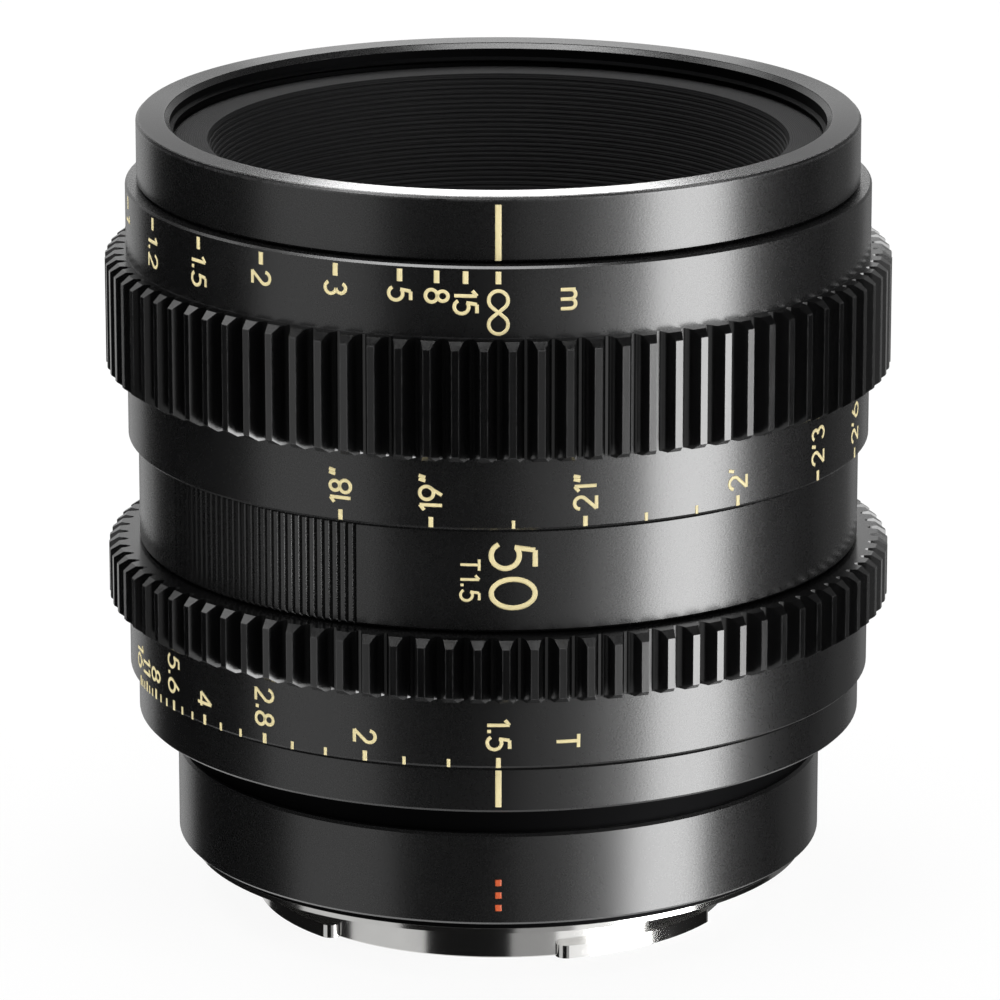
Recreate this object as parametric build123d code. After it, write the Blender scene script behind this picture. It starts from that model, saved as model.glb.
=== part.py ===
from build123d import *
from math import asin, atan2, cos, degrees, hypot, radians, sin, sqrt
import os

# A manual 50 mm cinema prime lens, standing on its rear mount with its front up.
# The origin is on the optical axis, in the plane of the flange that meets the camera.
# Angles round the axis are counted from the index line, which faces -Y, and grow towards +X.

# Fits and cuts
running_fit = 0.05
seat_gap = 0.02
axial_gap = 0.15
overrun = 0.6
edge_break = 0.25

# Turning ranges, in degrees, and the lead of the focusing helix
focus_turn = 205
iris_turn = 73.5
helicoid_lead = 12.6
focus_travel = helicoid_lead * focus_turn / 360

# Heights of the outside rings, from the camera flange up
flange_thickness = 1.1
shim_thickness = 0.15
mount_barrel_height = 8.75
neck_height = 3.3
rear_barrel_height = 4.3
iris_ring_height = 6.5
iris_gear_width = 5.9
mid_barrel_height = 9.65
focus_ring_height = 6.63
focus_gear_width = 11.07
scale_ring_height = 6.6
front_ring_height = 5.95

mount_barrel_z = flange_thickness + shim_thickness
neck_z = mount_barrel_z + mount_barrel_height
rear_barrel_z = neck_z + neck_height
rear_barrel_top = rear_barrel_z + rear_barrel_height
iris_ring_z = rear_barrel_top + axial_gap
iris_gear_z = iris_ring_z + iris_ring_height
iris_gear_top = iris_gear_z + iris_gear_width
mid_barrel_z = iris_gear_top + axial_gap
mid_barrel_top = mid_barrel_z + mid_barrel_height
focus_ring_z = mid_barrel_top + axial_gap
focus_gear_z = focus_ring_z + focus_ring_height
focus_gear_top = focus_gear_z + focus_gear_width
scale_ring_top = focus_gear_top + scale_ring_height
front_ring_z = scale_ring_top + axial_gap
front_top = front_ring_z + front_ring_height

# Radii of the bayonet and of the housing that it carries
bayonet_bore = 20.6
bayonet_wall = 1.4
flange_width = 7.2
mount_barrel_lip = 1.3
neck_step = 0.6
neck_wall = 1.35
spigot_wall = 0.6
spigot_ledge = 0.75
bayonet_tube_radius = bayonet_bore + bayonet_wall
flange_radius = bayonet_tube_radius + flange_width
mount_barrel_radius = flange_radius + mount_barrel_lip
neck_radius = mount_barrel_radius - neck_step
spigot_radius = neck_radius - neck_wall
barrel_bore = spigot_radius - spigot_wall
spigot_bore = barrel_bore - spigot_ledge

# Radii, from the sliding carriage outwards
carriage_wall = 1.6
barrel_wall = 1.6
cam_wall = 1.6
sleeve_wall = 2.0
carriage_radius = barrel_bore - running_fit
carriage_bore = carriage_radius - carriage_wall
barrel_radius = barrel_bore + barrel_wall
cam_bore = barrel_radius + running_fit
cam_radius = cam_bore + cam_wall
focus_bore = cam_radius + seat_gap
focus_seat_radius = focus_bore + sleeve_wall
focus_shoulder = 1.6
focus_radius = focus_seat_radius + focus_shoulder
bearing_bore = barrel_radius + seat_gap
bearing_wall = 1.6
bearing_radius = bearing_bore + bearing_wall
iris_bore = bearing_radius + running_fit
iris_seat_radius = iris_bore + sleeve_wall
iris_shoulder = 1.7
iris_radius = iris_seat_radius + iris_shoulder
mid_step = 0.94
mid_radius = focus_radius - mid_step
rear_step = 0.79
rear_radius = iris_radius - rear_step

# Gears for a follow-focus unit
gear_module = 0.8
gear_step = 0.15
gear_dedendum = 1.25 * gear_module
tooth_tip_share = 0.86
tooth_root_share = 2.45
tooth_fillet = 0.24
tooth_gap_share = 0.32
tooth_bevel_height = 0.6
tooth_bevel_depth = 0.9
bevel_cut_share = 0.5
focus_tooth_phase = 2.0
iris_tooth_phase = 1.1

# Front ring and light baffle
rim_bevel = 0.5
front_shoulder_step = 0.95
filter_shoulder = 1.7
front_wall = 3.15
filter_depth = 2.2
baffle_flange_thickness = 1.0
baffle_seat_step = 0.4
baffle_wall = 0.9
baffle_gap = 0.9
baffle_margin = 1.25
baffle_clearance = 1.0
baffle_step_count = 9
ledge_groove_count = 3
ledge_groove_depth = 0.3
front_hub_height = 1.95
front_hub_wall = 1.3
scale_ring_bevel = 0.2
front_shoulder_radius = barrel_bore + front_shoulder_step
filter_radius = front_shoulder_radius + filter_shoulder
front_radius = filter_radius + front_wall
baffle_mouth_radius = front_shoulder_radius - baffle_gap - baffle_wall

# Ribbed grip on the middle barrel
rib_pitch_angle = 1.34
rib_zone_start = -22.5
rib_count = 30
rib_depth = 0.35

# Helical cam, guide slots and rollers
roller_radius = 1.25
cam_lead_in = 5.425
roller_count = 3
roller_angle = 60
roller_bore_radius = 0.65
roller_screw_head_radius = 1.0
roller_screw_head_height = 0.6
slot_clearance = 0.05
cam_sleeve_rise = 0.15
glide_thickness = 0.5
iris_glide_width = 0.5
drive_screw_radius = 0.8
drive_screw_count = 3
drive_screw_drop = 2.75
scale_ring_lip = 2.9
scale_spigot_wall = 1.18
scale_spigot_radius = focus_bore + scale_spigot_wall

# Sliding carriage and its stack
window_rim = 1.3
carriage_ledge_thickness = 1.0
carriage_end = 3.0
cell_flange_thickness = 1.8
iris_base_thickness = 0.8
cam_ring_thickness = 1.2
cam_ring_clearance = 0.13
iris_cover_gap = 0.1
iris_cover_thickness = 0.6

# Iris blades, their pivots and their drive pins
blade_count = 9
blade_thickness = 0.12
blade_pitch = 0.2
blade_lift = 0.1
closed_radius = 1.3
blade_width = 6.2
blade_span = 112
blade_reach = 8.9
blade_heel = 7.0
blade_ear_radius = 1.6
blade_pin_radius = 0.45
blade_hole_radius = 0.55
iris_rim_wall = 1.03
cam_ring_rim = 3.8
cam_ring_web = 0.5
cam_slot_points = 7
iris_opening_margin = 0.4
cover_opening_margin = 0.9
cell_radius = carriage_bore - seat_gap
cam_ring_radius = cell_radius - iris_rim_wall - running_fit
blade_pivot_radius = cam_ring_radius - cam_ring_rim
open_radius = blade_pivot_radius - blade_reach
blade_turn = degrees(2 * asin((open_radius - closed_radius) / (2 * blade_pivot_radius)))

# Iris drive
drive_angle = 100
arm_width = 2.0
arm_engagement = 1.3
arm_clearance = 0.1
fork_margin = 0.5
fork_width = 6.0
fork_lift = 0.3
fork_slot_margin = 0.4
fork_screw_radius = 0.6
fork_screw_reach = 0.95
fork_screw_height_shares = (0.25, 0.65)

# Stops
stop_pin_radius = 0.6
stop_pin_height = 0.8
stop_pin_depth = 1.8
stop_groove_depth = 1.0
stop_groove_margin = 0.15
stop_circle_inset = 2.1
stop_angle = 95

# Bayonet, mount and rear baffle
bayonet_depth = 5.0
lug_reach = 1.05
lug_thickness = 1.25
lug_round = 1.0
flange_relief_width = 1.4
flange_relief_depth = 0.2
lug_ranges = ((14, 61), (138, 188), (265, 317))
mount_floor_thickness = 2.0
mount_floor_margin = 2.0
spigot_height = 2.3
shim_inset = 0.4
mount_screw_inset = 3.6
mount_screw_count = 4
mount_screw_angle = 45
mount_screw_radius = 0.8
mount_screw_head_radius = 1.6
mount_screw_head_height = 0.75
mount_screw_length = 3.0
lock_hole_radius = 1.25
lock_hole_angle = 20
lock_hole_depth = 0.8
rear_baffle_thickness = 1.0
rear_baffle_inset = 0.4
rear_window_width = 28.0
rear_window_height = 21.0
rear_window_corner = 4.0
mount_screw_circle = flange_radius - mount_screw_inset

# Lens elements: their edges' radii, and how far each curved face bulges (less than 0 is hollow)
glass_fit = 0.05
rim_flat = 1.3
front_neck_inset = 1.7
front_cell_wall = 3.28
second_glass_step = 3.1
third_glass_step = 2.7
sixth_glass_step = 0.7
front_glass_front_bulge = 3.0
front_glass_rear_bulge = -1.2
second_glass_front_bulge = 2.4
second_glass_rear_bulge = -0.8
third_glass_front_bulge = -0.6
third_glass_rear_bulge = -1.5
fourth_glass_front_bulge = -1.0
fifth_glass_rear_bulge = 1.6
sixth_glass_rear_bulge = 0.8
seventh_glass_rear_bulge = 0.6
front_neck_radius = cell_radius - front_neck_inset
front_glass_radius = front_neck_radius - front_cell_wall - glass_fit
second_glass_radius = front_glass_radius - second_glass_step
third_glass_radius = second_glass_radius - third_glass_step
sixth_glass_radius = third_glass_radius + sixth_glass_step
baffle_bottom_radius = front_glass_radius + baffle_margin

# Front cell: heights from its foot up
third_glass_foot = 3.45
third_glass_edge = 3.5
middle_spacer_height = 2.0
second_glass_edge = 3.5
front_spacer_height = 3.5
front_glass_edge = 3.0
front_cell_rim = 4.0
retaining_ring_height = 2.5
lock_ring_height = 2.0
second_glass_foot = third_glass_foot + third_glass_edge + middle_spacer_height
front_glass_foot = second_glass_foot + second_glass_edge + front_spacer_height
front_cell_height = front_glass_foot + front_glass_edge + front_cell_rim

# Rear cell: its upper pocket from the flange down, then its lower one from its foot up
rear_cell_wall = 3.3
rear_cell_gap = 1.5
rear_cell_length = 12.0
throat_margin = 0.35
fourth_glass_depth = 0.6
fourth_glass_edge = 2.0
rear_upper_spacer_height = 1.0
fifth_glass_edge = 2.0
rear_ring_height = 1.0
seventh_glass_edge = 1.6
rear_lower_spacer_height = 1.0
sixth_glass_edge = 2.0
seventh_glass_foot = rear_ring_height
sixth_glass_foot = seventh_glass_foot + seventh_glass_edge + rear_lower_spacer_height
rear_upper_depth = fourth_glass_depth + fourth_glass_edge + rear_upper_spacer_height + fifth_glass_edge
rear_cell_radius = sixth_glass_radius + glass_fit + rear_cell_wall
carriage_ledge_radius = rear_cell_radius + rear_cell_gap
rear_throat = third_glass_radius - rim_flat + throat_margin
mount_floor_bore = rear_cell_radius + mount_floor_margin

# Heights of the carriage's stack at infinity focus: the fork's top stays under the middle barrel
iris_base_rise = carriage_ledge_thickness + cell_flange_thickness + iris_base_thickness
blade_stack_height = blade_lift + (blade_count - 1) * blade_pitch + blade_thickness
cam_ring_rise = iris_base_rise + blade_stack_height + cam_ring_clearance
fork_top = mid_barrel_z - window_rim
cam_ring_top = fork_top - fork_margin - focus_travel
cam_ring_z = cam_ring_top - cam_ring_thickness
carriage_z = cam_ring_z - cam_ring_rise
ledge_top = carriage_z + carriage_ledge_thickness
cell_flange_top = ledge_top + cell_flange_thickness
iris_base_top = cell_flange_top + iris_base_thickness
first_blade_z = iris_base_top + blade_lift
iris_cover_z = cam_ring_top + iris_cover_gap
front_cell_z = iris_cover_z + iris_cover_thickness
front_cell_top = front_cell_z + front_cell_height
fork_inner_radius = carriage_radius + fork_lift
arm_reach = fork_inner_radius + arm_engagement
fork_bottom = cam_ring_z - fork_margin
cam_sleeve_z = focus_ring_z + cam_sleeve_rise
roller_z = cam_sleeve_z + cam_lead_in + slot_clearance + roller_radius
carriage_top = roller_z + carriage_end
hub_z = front_ring_z - front_hub_height
front_glide_z = hub_z - glide_thickness
cam_sleeve_top = front_glide_z - running_fit
rear_glide_top = cam_sleeve_z - running_fit
iris_glide_top = iris_ring_z - running_fit
ledge_z = front_top - filter_depth
baffle_bottom_z = front_cell_top + focus_travel + baffle_clearance


def toward(angle, radius, height=0.0):
    """A point at an angle round the optical axis from the index line."""
    return Vector(radius * sin(radians(angle)), -radius * cos(radians(angle)), height)


def turned(*outline):
    """A piece turned on the optical axis, from the (radius, height) corners of its section."""
    corners = [(radius, 0, height) for radius, height in outline]
    return revolve(make_face(Polyline(*corners, close=True)), Axis.Z)


def ring(inner, outer, bottom, top):
    """A plain ring."""
    return turned((inner, bottom), (outer, bottom), (outer, top), (inner, top))


def outside_ring(inner, outer, bottom, top, bottom_edge=edge_break, top_edge=edge_break):
    """A ring whose two outer edges are broken by small bevels."""
    return turned(
        (inner, bottom), (outer - bottom_edge, bottom), (outer, bottom + bottom_edge),
        (outer, top - top_edge), (outer - top_edge, top), (inner, top),
    )


def sector_face(inner, outer, start, end):
    """The outline of a stretch of ring between two angles."""
    middle = (start + end) / 2
    return make_face([
        ThreePointArc(toward(start, outer), toward(middle, outer), toward(end, outer)),
        Line(toward(end, outer), toward(end, inner)),
        ThreePointArc(toward(end, inner), toward(middle, inner), toward(start, inner)),
        Line(toward(start, inner), toward(start, outer)),
    ])


def sector(inner, outer, bottom, top, start, end):
    """A stretch of ring between two angles."""
    return Pos(0, 0, bottom) * extrude(sector_face(inner, outer, start, end), top - bottom, dir=(0, 0, 1))


def radial_pin(angle, height, inner, outer, radius):
    """A round bar that points away from the axis."""
    plane = Plane(origin=toward(angle, inner, height), z_dir=toward(angle, 1))
    return extrude(plane * Circle(radius), outer - inner)


def upright_pin(angle, circle, bottom, top, radius):
    """A round bar along the axis."""
    return Pos(*toward(angle, circle, bottom)) * extrude(Circle(radius), top - bottom)


def round_the_axis(count, first=0.0):
    """Even angles round the axis."""
    return [first + index * 360 / count for index in range(count)]


def angle_for(width, radius):
    """The angle that a width takes up at a radius."""
    return degrees(width / radius)


def gear_ring(bore, body_radius, bottom, width, phase):
    """A follow-focus gear: teeth that stand a little proud of the ring's body, with bevelled ends."""
    target = body_radius + gear_step + gear_dedendum
    teeth = round(2 * target / gear_module)
    pitch_radius = teeth * gear_module / 2
    tip, root = pitch_radius + gear_module, pitch_radius - gear_dedendum
    tip_half = angle_for(tooth_tip_share * gear_module / 2, tip)
    root_half = angle_for(tooth_root_share * gear_module / 2, root)
    fillet_half = root_half + (tip_half - root_half) * tooth_fillet / (tip - root)
    foot_half = 180 / teeth - angle_for(tooth_gap_share * gear_module / 2, root)
    corners = []
    for middle in round_the_axis(teeth, phase):
        corners += [
            toward(middle - foot_half, root), toward(middle - fillet_half, root + tooth_fillet),
            toward(middle - tip_half, tip), toward(middle + tip_half, tip),
            toward(middle + fillet_half, root + tooth_fillet), toward(middle + foot_half, root),
        ]
    face = make_face(Polyline(*corners, close=True)) - Circle(bore)
    gear = Pos(0, 0, bottom) * extrude(face, width)
    return gear - end_bevel(tip, bottom, 1) - end_bevel(tip, bottom + width, -1)


def end_bevel(tip, end, inward):
    """What is cut from one end of the teeth: a ring with a sloping inner face that meets their tips."""
    depth, height = bevel_cut_share * tooth_bevel_depth, bevel_cut_share * tooth_bevel_height * inward
    low = (tip - tooth_bevel_depth - depth, end - height)
    high = (tip + depth, end + tooth_bevel_height * inward + height)
    return turned(low, high, (high[0], low[1]))


def stop_groove(ring_radius, bottom, turn):
    """The arc groove under a turning ring that a fixed stop pin runs in."""
    circle, width = ring_radius - stop_circle_inset, stop_pin_radius + stop_groove_margin
    half = angle_for(width, circle)
    start, end = stop_angle - turn - half, stop_angle + half
    return sector(circle - width, circle + width, bottom - overrun, bottom + stop_groove_depth, start, end)


def glass(edge_radius, bottom, top, bottom_bulge, top_bulge):
    """A lens element with a flat seat round each face. A bulge is positive where it is convex."""
    clear = edge_radius - rim_flat

    def surface(level, bulge, out):
        centre = level + out * bulge
        if bulge == 0:
            return Line((0, 0, level), (clear, 0, level))
        curve = (clear ** 2 + bulge ** 2) / (2 * abs(bulge))
        half_sag = curve - sqrt(curve ** 2 - clear ** 2 / 4)
        side = 1 if bulge > 0 else -1
        middle = centre - out * side * half_sag
        return ThreePointArc((0, 0, centre), (clear / 2, 0, middle), (clear, 0, level))

    lower = surface(bottom, bottom_bulge, -1)
    upper = surface(top, top_bulge, 1)
    rim = Polyline((clear, 0, bottom), (edge_radius, 0, bottom), (edge_radius, 0, top), (clear, 0, top))
    axis = Line(lower @ 0, upper @ 0)
    return revolve(make_face([lower, rim, upper, axis]), Axis.Z)


# Fixed body
def make_front_ring():
    """The front ring, with the filter thread's bore and a hub that screws onto the main barrel."""
    collar = outside_ring(front_shoulder_radius, front_radius, front_ring_z, front_top)
    hub = ring(bearing_bore, bearing_bore + front_hub_wall, hub_z, front_ring_z)
    seat_radius, seat_z = filter_radius - baffle_seat_step, ledge_z - baffle_flange_thickness
    thread_bore = turned(
        (0, seat_z), (seat_radius, seat_z), (seat_radius, ledge_z), (filter_radius, ledge_z),
        (filter_radius, front_top - rim_bevel), (filter_radius + rim_bevel, front_top),
        (filter_radius + rim_bevel, front_top + overrun), (0, front_top + overrun),
    )
    return collar + hub - thread_bore


def make_ribbed_baffle():
    """The stepped light baffle, with concentric grooves round its flange."""
    flange_outer = filter_radius - baffle_seat_step - seat_gap
    flange_bottom = ledge_z - baffle_flange_thickness
    groove_pitch = (flange_outer - baffle_mouth_radius) / (ledge_groove_count + 1)
    outline = [(flange_outer, flange_bottom), (flange_outer, ledge_z)]
    for index in range(ledge_groove_count):
        middle = flange_outer - (index + 1) * groove_pitch
        outline += [
            (middle + groove_pitch / 4, ledge_z), (middle, ledge_z - ledge_groove_depth),
            (middle - groove_pitch / 4, ledge_z),
        ]
    outline.append((baffle_mouth_radius, ledge_z))
    step = (ledge_z - baffle_bottom_z) / baffle_step_count
    narrowing = (baffle_mouth_radius - baffle_bottom_radius) / baffle_step_count
    for index in range(baffle_step_count):
        radius = baffle_mouth_radius - index * narrowing
        low = ledge_z - (index + 1) * step
        outline += [(radius, low + step / 2), (radius - narrowing, low)]
    outline += [
        (baffle_bottom_radius + baffle_wall, baffle_bottom_z),
        (baffle_mouth_radius + baffle_wall, flange_bottom),
    ]
    return turned(*outline)


def guide_slot(angle):
    """The straight slot that keeps a roller from turning."""
    half = roller_radius + slot_clearance
    inner, outer = barrel_bore - overrun, barrel_radius + overrun
    middle = toward(angle, inner, roller_z + focus_travel / 2)
    plane = Plane(origin=middle, x_dir=(0, 0, 1), z_dir=toward(angle, 1))
    return extrude(plane * SlotCenterToCenter(focus_travel, 2 * half), outer - inner)


def arm_window(inner, outer, bottom, top):
    """The arc window through which the iris drive reaches inwards."""
    half = angle_for(fork_width / 2 + fork_slot_margin, bearing_bore)
    start, end = drive_angle - half, drive_angle + iris_turn + half
    return sector(inner - overrun, outer + overrun, bottom, top, start, end)


def make_main_barrel():
    """The fixed barrel: three straight guide slots, and an arc window for the iris drive."""
    body = turned(
        (spigot_bore, rear_barrel_z - spigot_height), (spigot_radius, rear_barrel_z - spigot_height),
        (spigot_radius, rear_barrel_z), (barrel_radius, rear_barrel_z), (barrel_radius, front_ring_z),
        (barrel_bore, front_ring_z), (barrel_bore, rear_barrel_z), (spigot_bore, rear_barrel_z),
    )
    slots = [guide_slot(angle) for angle in round_the_axis(roller_count, roller_angle)]
    window = arm_window(barrel_bore, barrel_radius, fork_bottom - arm_clearance, fork_top + arm_clearance)
    return body - slots - window


def make_mid_barrel():
    """The fixed middle ring, with a ribbed grip on one side and seats for a glide ring and a stop pin."""
    body = outside_ring(bearing_bore, mid_radius, mid_barrel_z, mid_barrel_top)
    glide_seat = rear_glide_top - glide_thickness
    recess = ring(bearing_bore - overrun, cam_radius, glide_seat, mid_barrel_top + overrun)
    return body - recess - stop_pin_hole(mid_barrel_top, focus_radius) - rib_grooves()


def rib_grooves():
    """The upright grooves between the ribs of the grip."""
    half = rib_pitch_angle / 4
    bottom, top = mid_barrel_z - overrun, mid_barrel_top + overrun
    grooves = []
    for index in range(rib_count):
        middle = rib_zone_start - index * rib_pitch_angle
        outline = Polyline(
            toward(middle, mid_radius - rib_depth), toward(middle + 2 * half, mid_radius + rib_depth),
            toward(middle - 2 * half, mid_radius + rib_depth), close=True,
        )
        grooves.append(Pos(0, 0, bottom) * extrude(make_face(outline), top - bottom, dir=(0, 0, 1)))
    return grooves


def make_rear_barrel():
    """The rear collar and, above it, the bearing sleeve that the iris ring turns on."""
    body = turned(
        (bearing_bore, rear_barrel_z), (rear_radius - edge_break, rear_barrel_z),
        (rear_radius, rear_barrel_z + edge_break), (rear_radius, rear_barrel_top - edge_break),
        (rear_radius - edge_break, rear_barrel_top), (bearing_radius, rear_barrel_top),
        (bearing_radius, mid_barrel_z), (bearing_bore, mid_barrel_z),
    )
    glide_seat = ring(
        bearing_radius, iris_bore + iris_glide_width + seat_gap, iris_glide_top - glide_thickness,
        rear_barrel_top + overrun,
    )
    window = arm_window(bearing_bore, bearing_radius, fork_bottom - arm_clearance, fork_top + arm_clearance)
    return body - glide_seat - stop_pin_hole(rear_barrel_top, iris_radius) - window


def make_mount_barrel():
    """The rear housing between the collar and the bayonet, with a neck and a floor for the mount screws."""
    floor_top = mount_barrel_z + mount_floor_thickness
    shoulder = rear_barrel_z - spigot_height
    body = turned(
        (mount_floor_bore, mount_barrel_z), (mount_barrel_radius - edge_break, mount_barrel_z),
        (mount_barrel_radius, mount_barrel_z + edge_break), (mount_barrel_radius, neck_z - edge_break),
        (mount_barrel_radius - edge_break, neck_z), (neck_radius, neck_z), (neck_radius, rear_barrel_z),
        (spigot_radius + seat_gap, rear_barrel_z), (spigot_radius + seat_gap, shoulder),
        (spigot_bore, shoulder), (spigot_bore, floor_top), (mount_floor_bore, floor_top),
    )
    return body - mount_screw_holes(mount_barrel_z - overrun, floor_top + overrun)


def mount_screw_holes(bottom, top):
    """The holes for the mount screws' shanks."""
    return [
        upright_pin(angle, mount_screw_circle, bottom, top, mount_screw_radius + seat_gap)
        for angle in round_the_axis(mount_screw_count, mount_screw_angle)
    ]


def make_mount_shim():
    """The thin shim that sets the lens's distance from the film plane."""
    shim = ring(mount_floor_bore, flange_radius - shim_inset, flange_thickness, mount_barrel_z)
    return shim - mount_screw_holes(flange_thickness - overrun, mount_barrel_z + overrun)


def make_bayonet_mount():
    """The bayonet: a flange with a relief round its tube, three lugs, countersinks and a lock pin hole."""
    tube_bottom = -bayonet_depth
    body = turned(
        (bayonet_bore, tube_bottom), (bayonet_tube_radius - edge_break / 2, tube_bottom),
        (bayonet_tube_radius, tube_bottom + edge_break / 2), (bayonet_tube_radius, flange_relief_depth),
        (bayonet_tube_radius + flange_relief_width, flange_relief_depth),
        (bayonet_tube_radius + flange_relief_width, 0), (flange_radius, 0),
        (flange_radius, flange_thickness), (bayonet_bore, flange_thickness),
    )
    for start, end in lug_ranges:
        body += Pos(0, 0, tube_bottom) * extrude(lug_outline(start, end), lug_thickness, dir=(0, 0, 1))
    lock_hole = upright_pin(lock_hole_angle, mount_screw_circle, -overrun, lock_hole_depth, lock_hole_radius)
    head_radius = mount_screw_head_radius + seat_gap
    heads = [
        upright_pin(angle, mount_screw_circle, -overrun, mount_screw_head_height, head_radius)
        for angle in round_the_axis(mount_screw_count, mount_screw_angle)
    ]
    return body - mount_screw_holes(-overrun, flange_thickness + overrun) - heads - lock_hole


def lug_outline(start, end):
    """One lug of the bayonet from below, with its two outer corners rounded."""
    face = sector_face(bayonet_tube_radius - lug_reach / 2, bayonet_tube_radius + lug_reach, start, end)
    corners = face.vertices().sort_by(lambda corner: hypot(corner.X, corner.Y))[-2:]
    return fillet(corners, lug_round)


def make_mount_screws():
    """Four screws that hold the bayonet, with a recess in each head."""
    circle, shoulder = mount_screw_circle, mount_screw_head_height
    screws = []
    for angle in round_the_axis(mount_screw_count, mount_screw_angle):
        head = upright_pin(angle, circle, axial_gap, shoulder, mount_screw_head_radius)
        shank = upright_pin(angle, circle, shoulder, mount_screw_length, mount_screw_radius)
        recess = upright_pin(angle, circle, 0, shoulder / 2, mount_screw_radius)
        screws.append(head + shank - recess)
    return screws


def make_rear_baffle():
    """The black mask inside the bayonet's tube, with a window shaped like the picture."""
    bottom = rear_baffle_inset - bayonet_depth
    disc = Pos(0, 0, bottom) * extrude(Circle(bayonet_bore - seat_gap), rear_baffle_thickness)
    window = RectangleRounded(rear_window_width, rear_window_height, rear_window_corner)
    return disc - Pos(0, 0, bottom - overrun) * extrude(window, rear_baffle_thickness + 2 * overrun)


def make_focus_glide_front():
    """The slippery ring under the front hub."""
    return ring(bearing_bore + seat_gap, cam_radius - running_fit, front_glide_z, hub_z)


def make_focus_glide_rear():
    """The slippery ring between the middle barrel and the cam sleeve."""
    inner, outer = bearing_bore + seat_gap, cam_radius - seat_gap
    return ring(inner, outer, rear_glide_top - glide_thickness, rear_glide_top)


def make_iris_glide_ring():
    """The slippery ring under the iris ring."""
    inner, outer = bearing_radius + seat_gap, iris_bore + iris_glide_width
    return ring(inner, outer, iris_glide_top - glide_thickness, iris_glide_top)


def make_stop_pin(base_top, ring_radius):
    """The pin that ends a ring's turn."""
    bottom, top = base_top - stop_pin_depth, base_top + stop_pin_height
    return upright_pin(stop_angle, ring_radius - stop_circle_inset, bottom, top, stop_pin_radius)


def stop_pin_hole(base_top, ring_radius):
    """The hole that a stop pin is pressed into."""
    bottom, top = base_top - stop_pin_depth, base_top + overrun
    return upright_pin(stop_angle, ring_radius - stop_circle_inset, bottom, top, stop_pin_radius + seat_gap)


# Focusing body
def make_focus_ring():
    """The focusing ring's lower half, the gear's seat and the spigot for the scale ring."""
    spigot_top = scale_ring_top - scale_ring_lip
    body = turned(
        (focus_bore, focus_ring_z), (focus_radius - edge_break, focus_ring_z),
        (focus_radius, focus_ring_z + edge_break), (focus_radius, focus_gear_z),
        (focus_seat_radius, focus_gear_z), (focus_seat_radius, focus_gear_top),
        (scale_spigot_radius, focus_gear_top), (scale_spigot_radius, spigot_top), (focus_bore, spigot_top),
    )
    groove = stop_groove(focus_radius, focus_ring_z, focus_turn)
    return body - groove - drive_screw_bars(drive_screw_radius + seat_gap, focus_bore - overrun, overrun)


def drive_screw_bars(radius, inner, past):
    """Bars along the screws that lock the cam sleeve to the focusing ring."""
    height = scale_ring_top - scale_ring_lip - drive_screw_drop
    outer = scale_spigot_radius + past
    return [radial_pin(angle, height, inner, outer, radius) for angle in round_the_axis(drive_screw_count)]


def make_scale_ring():
    """The focusing ring's upper half, which carries the main distance scale."""
    seat, lip_z = scale_spigot_radius + seat_gap, scale_ring_top - scale_ring_lip
    return turned(
        (seat, focus_gear_top), (focus_radius, focus_gear_top),
        (focus_radius, scale_ring_top - scale_ring_bevel), (focus_radius - scale_ring_bevel, scale_ring_top),
        (cam_radius + running_fit, scale_ring_top), (cam_radius + running_fit, lip_z), (seat, lip_z),
    )


def helical_slot(angle):
    """The slot that lifts a roller as the sleeve turns, with round ends."""
    half = roller_radius + slot_clearance
    inner, outer = cam_bore - overrun, cam_radius + overrun
    middle = (inner + outer) / 2
    path = Helix(helicoid_lead, focus_travel, middle, lefthand=True)
    section = Plane(origin=path @ 0, x_dir=(1, 0, 0), z_dir=path % 0) * Rectangle(outer - inner, 2 * half)
    groove = sweep(section, path, is_frenet=True)
    placed = Rot(0, 0, angle - 90) * Pos(0, 0, roller_z) * groove
    return [
        placed,
        radial_pin(angle, roller_z, inner, outer, half),
        radial_pin(angle - focus_turn, roller_z + focus_travel, inner, outer, half),
    ]


def make_cam_sleeve():
    """The sleeve whose three helical slots move the optics."""
    sleeve = ring(cam_bore, cam_radius, cam_sleeve_z, cam_sleeve_top)
    for angle in round_the_axis(roller_count, roller_angle):
        sleeve -= helical_slot(angle)
    return sleeve - drive_screw_bars(drive_screw_radius + seat_gap, cam_bore - overrun, overrun)


def make_drive_screws():
    """The screws that lock the cam sleeve to the focusing ring."""
    return drive_screw_bars(drive_screw_radius, cam_bore + running_fit, 0)


# Optics body
def make_lens_carriage():
    """The tube that carries all the glass, with holes for the rollers and a window for the iris arm."""
    body = turned(
        (carriage_ledge_radius, carriage_z), (carriage_radius, carriage_z), (carriage_radius, carriage_top),
        (carriage_bore, carriage_top), (carriage_bore, ledge_top), (carriage_ledge_radius, ledge_top),
    )
    holes = [
        radial_pin(angle, roller_z, carriage_bore - overrun, carriage_radius + overrun, roller_bore_radius)
        for angle in round_the_axis(roller_count, roller_angle)
    ]
    return body - holes - arm_slot(carriage_bore, carriage_radius)


def arm_slot(inner, outer):
    """The arc slot that the iris arm sweeps in the carriage and the iris housing."""
    half = angle_for(arm_width / 2 + arm_clearance + fork_slot_margin, inner)
    bottom, top = cam_ring_z - arm_clearance, cam_ring_top + arm_clearance
    start, end = drive_angle - half, drive_angle + iris_turn + half
    return sector(inner - overrun, outer + overrun, bottom, top, start, end)


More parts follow.
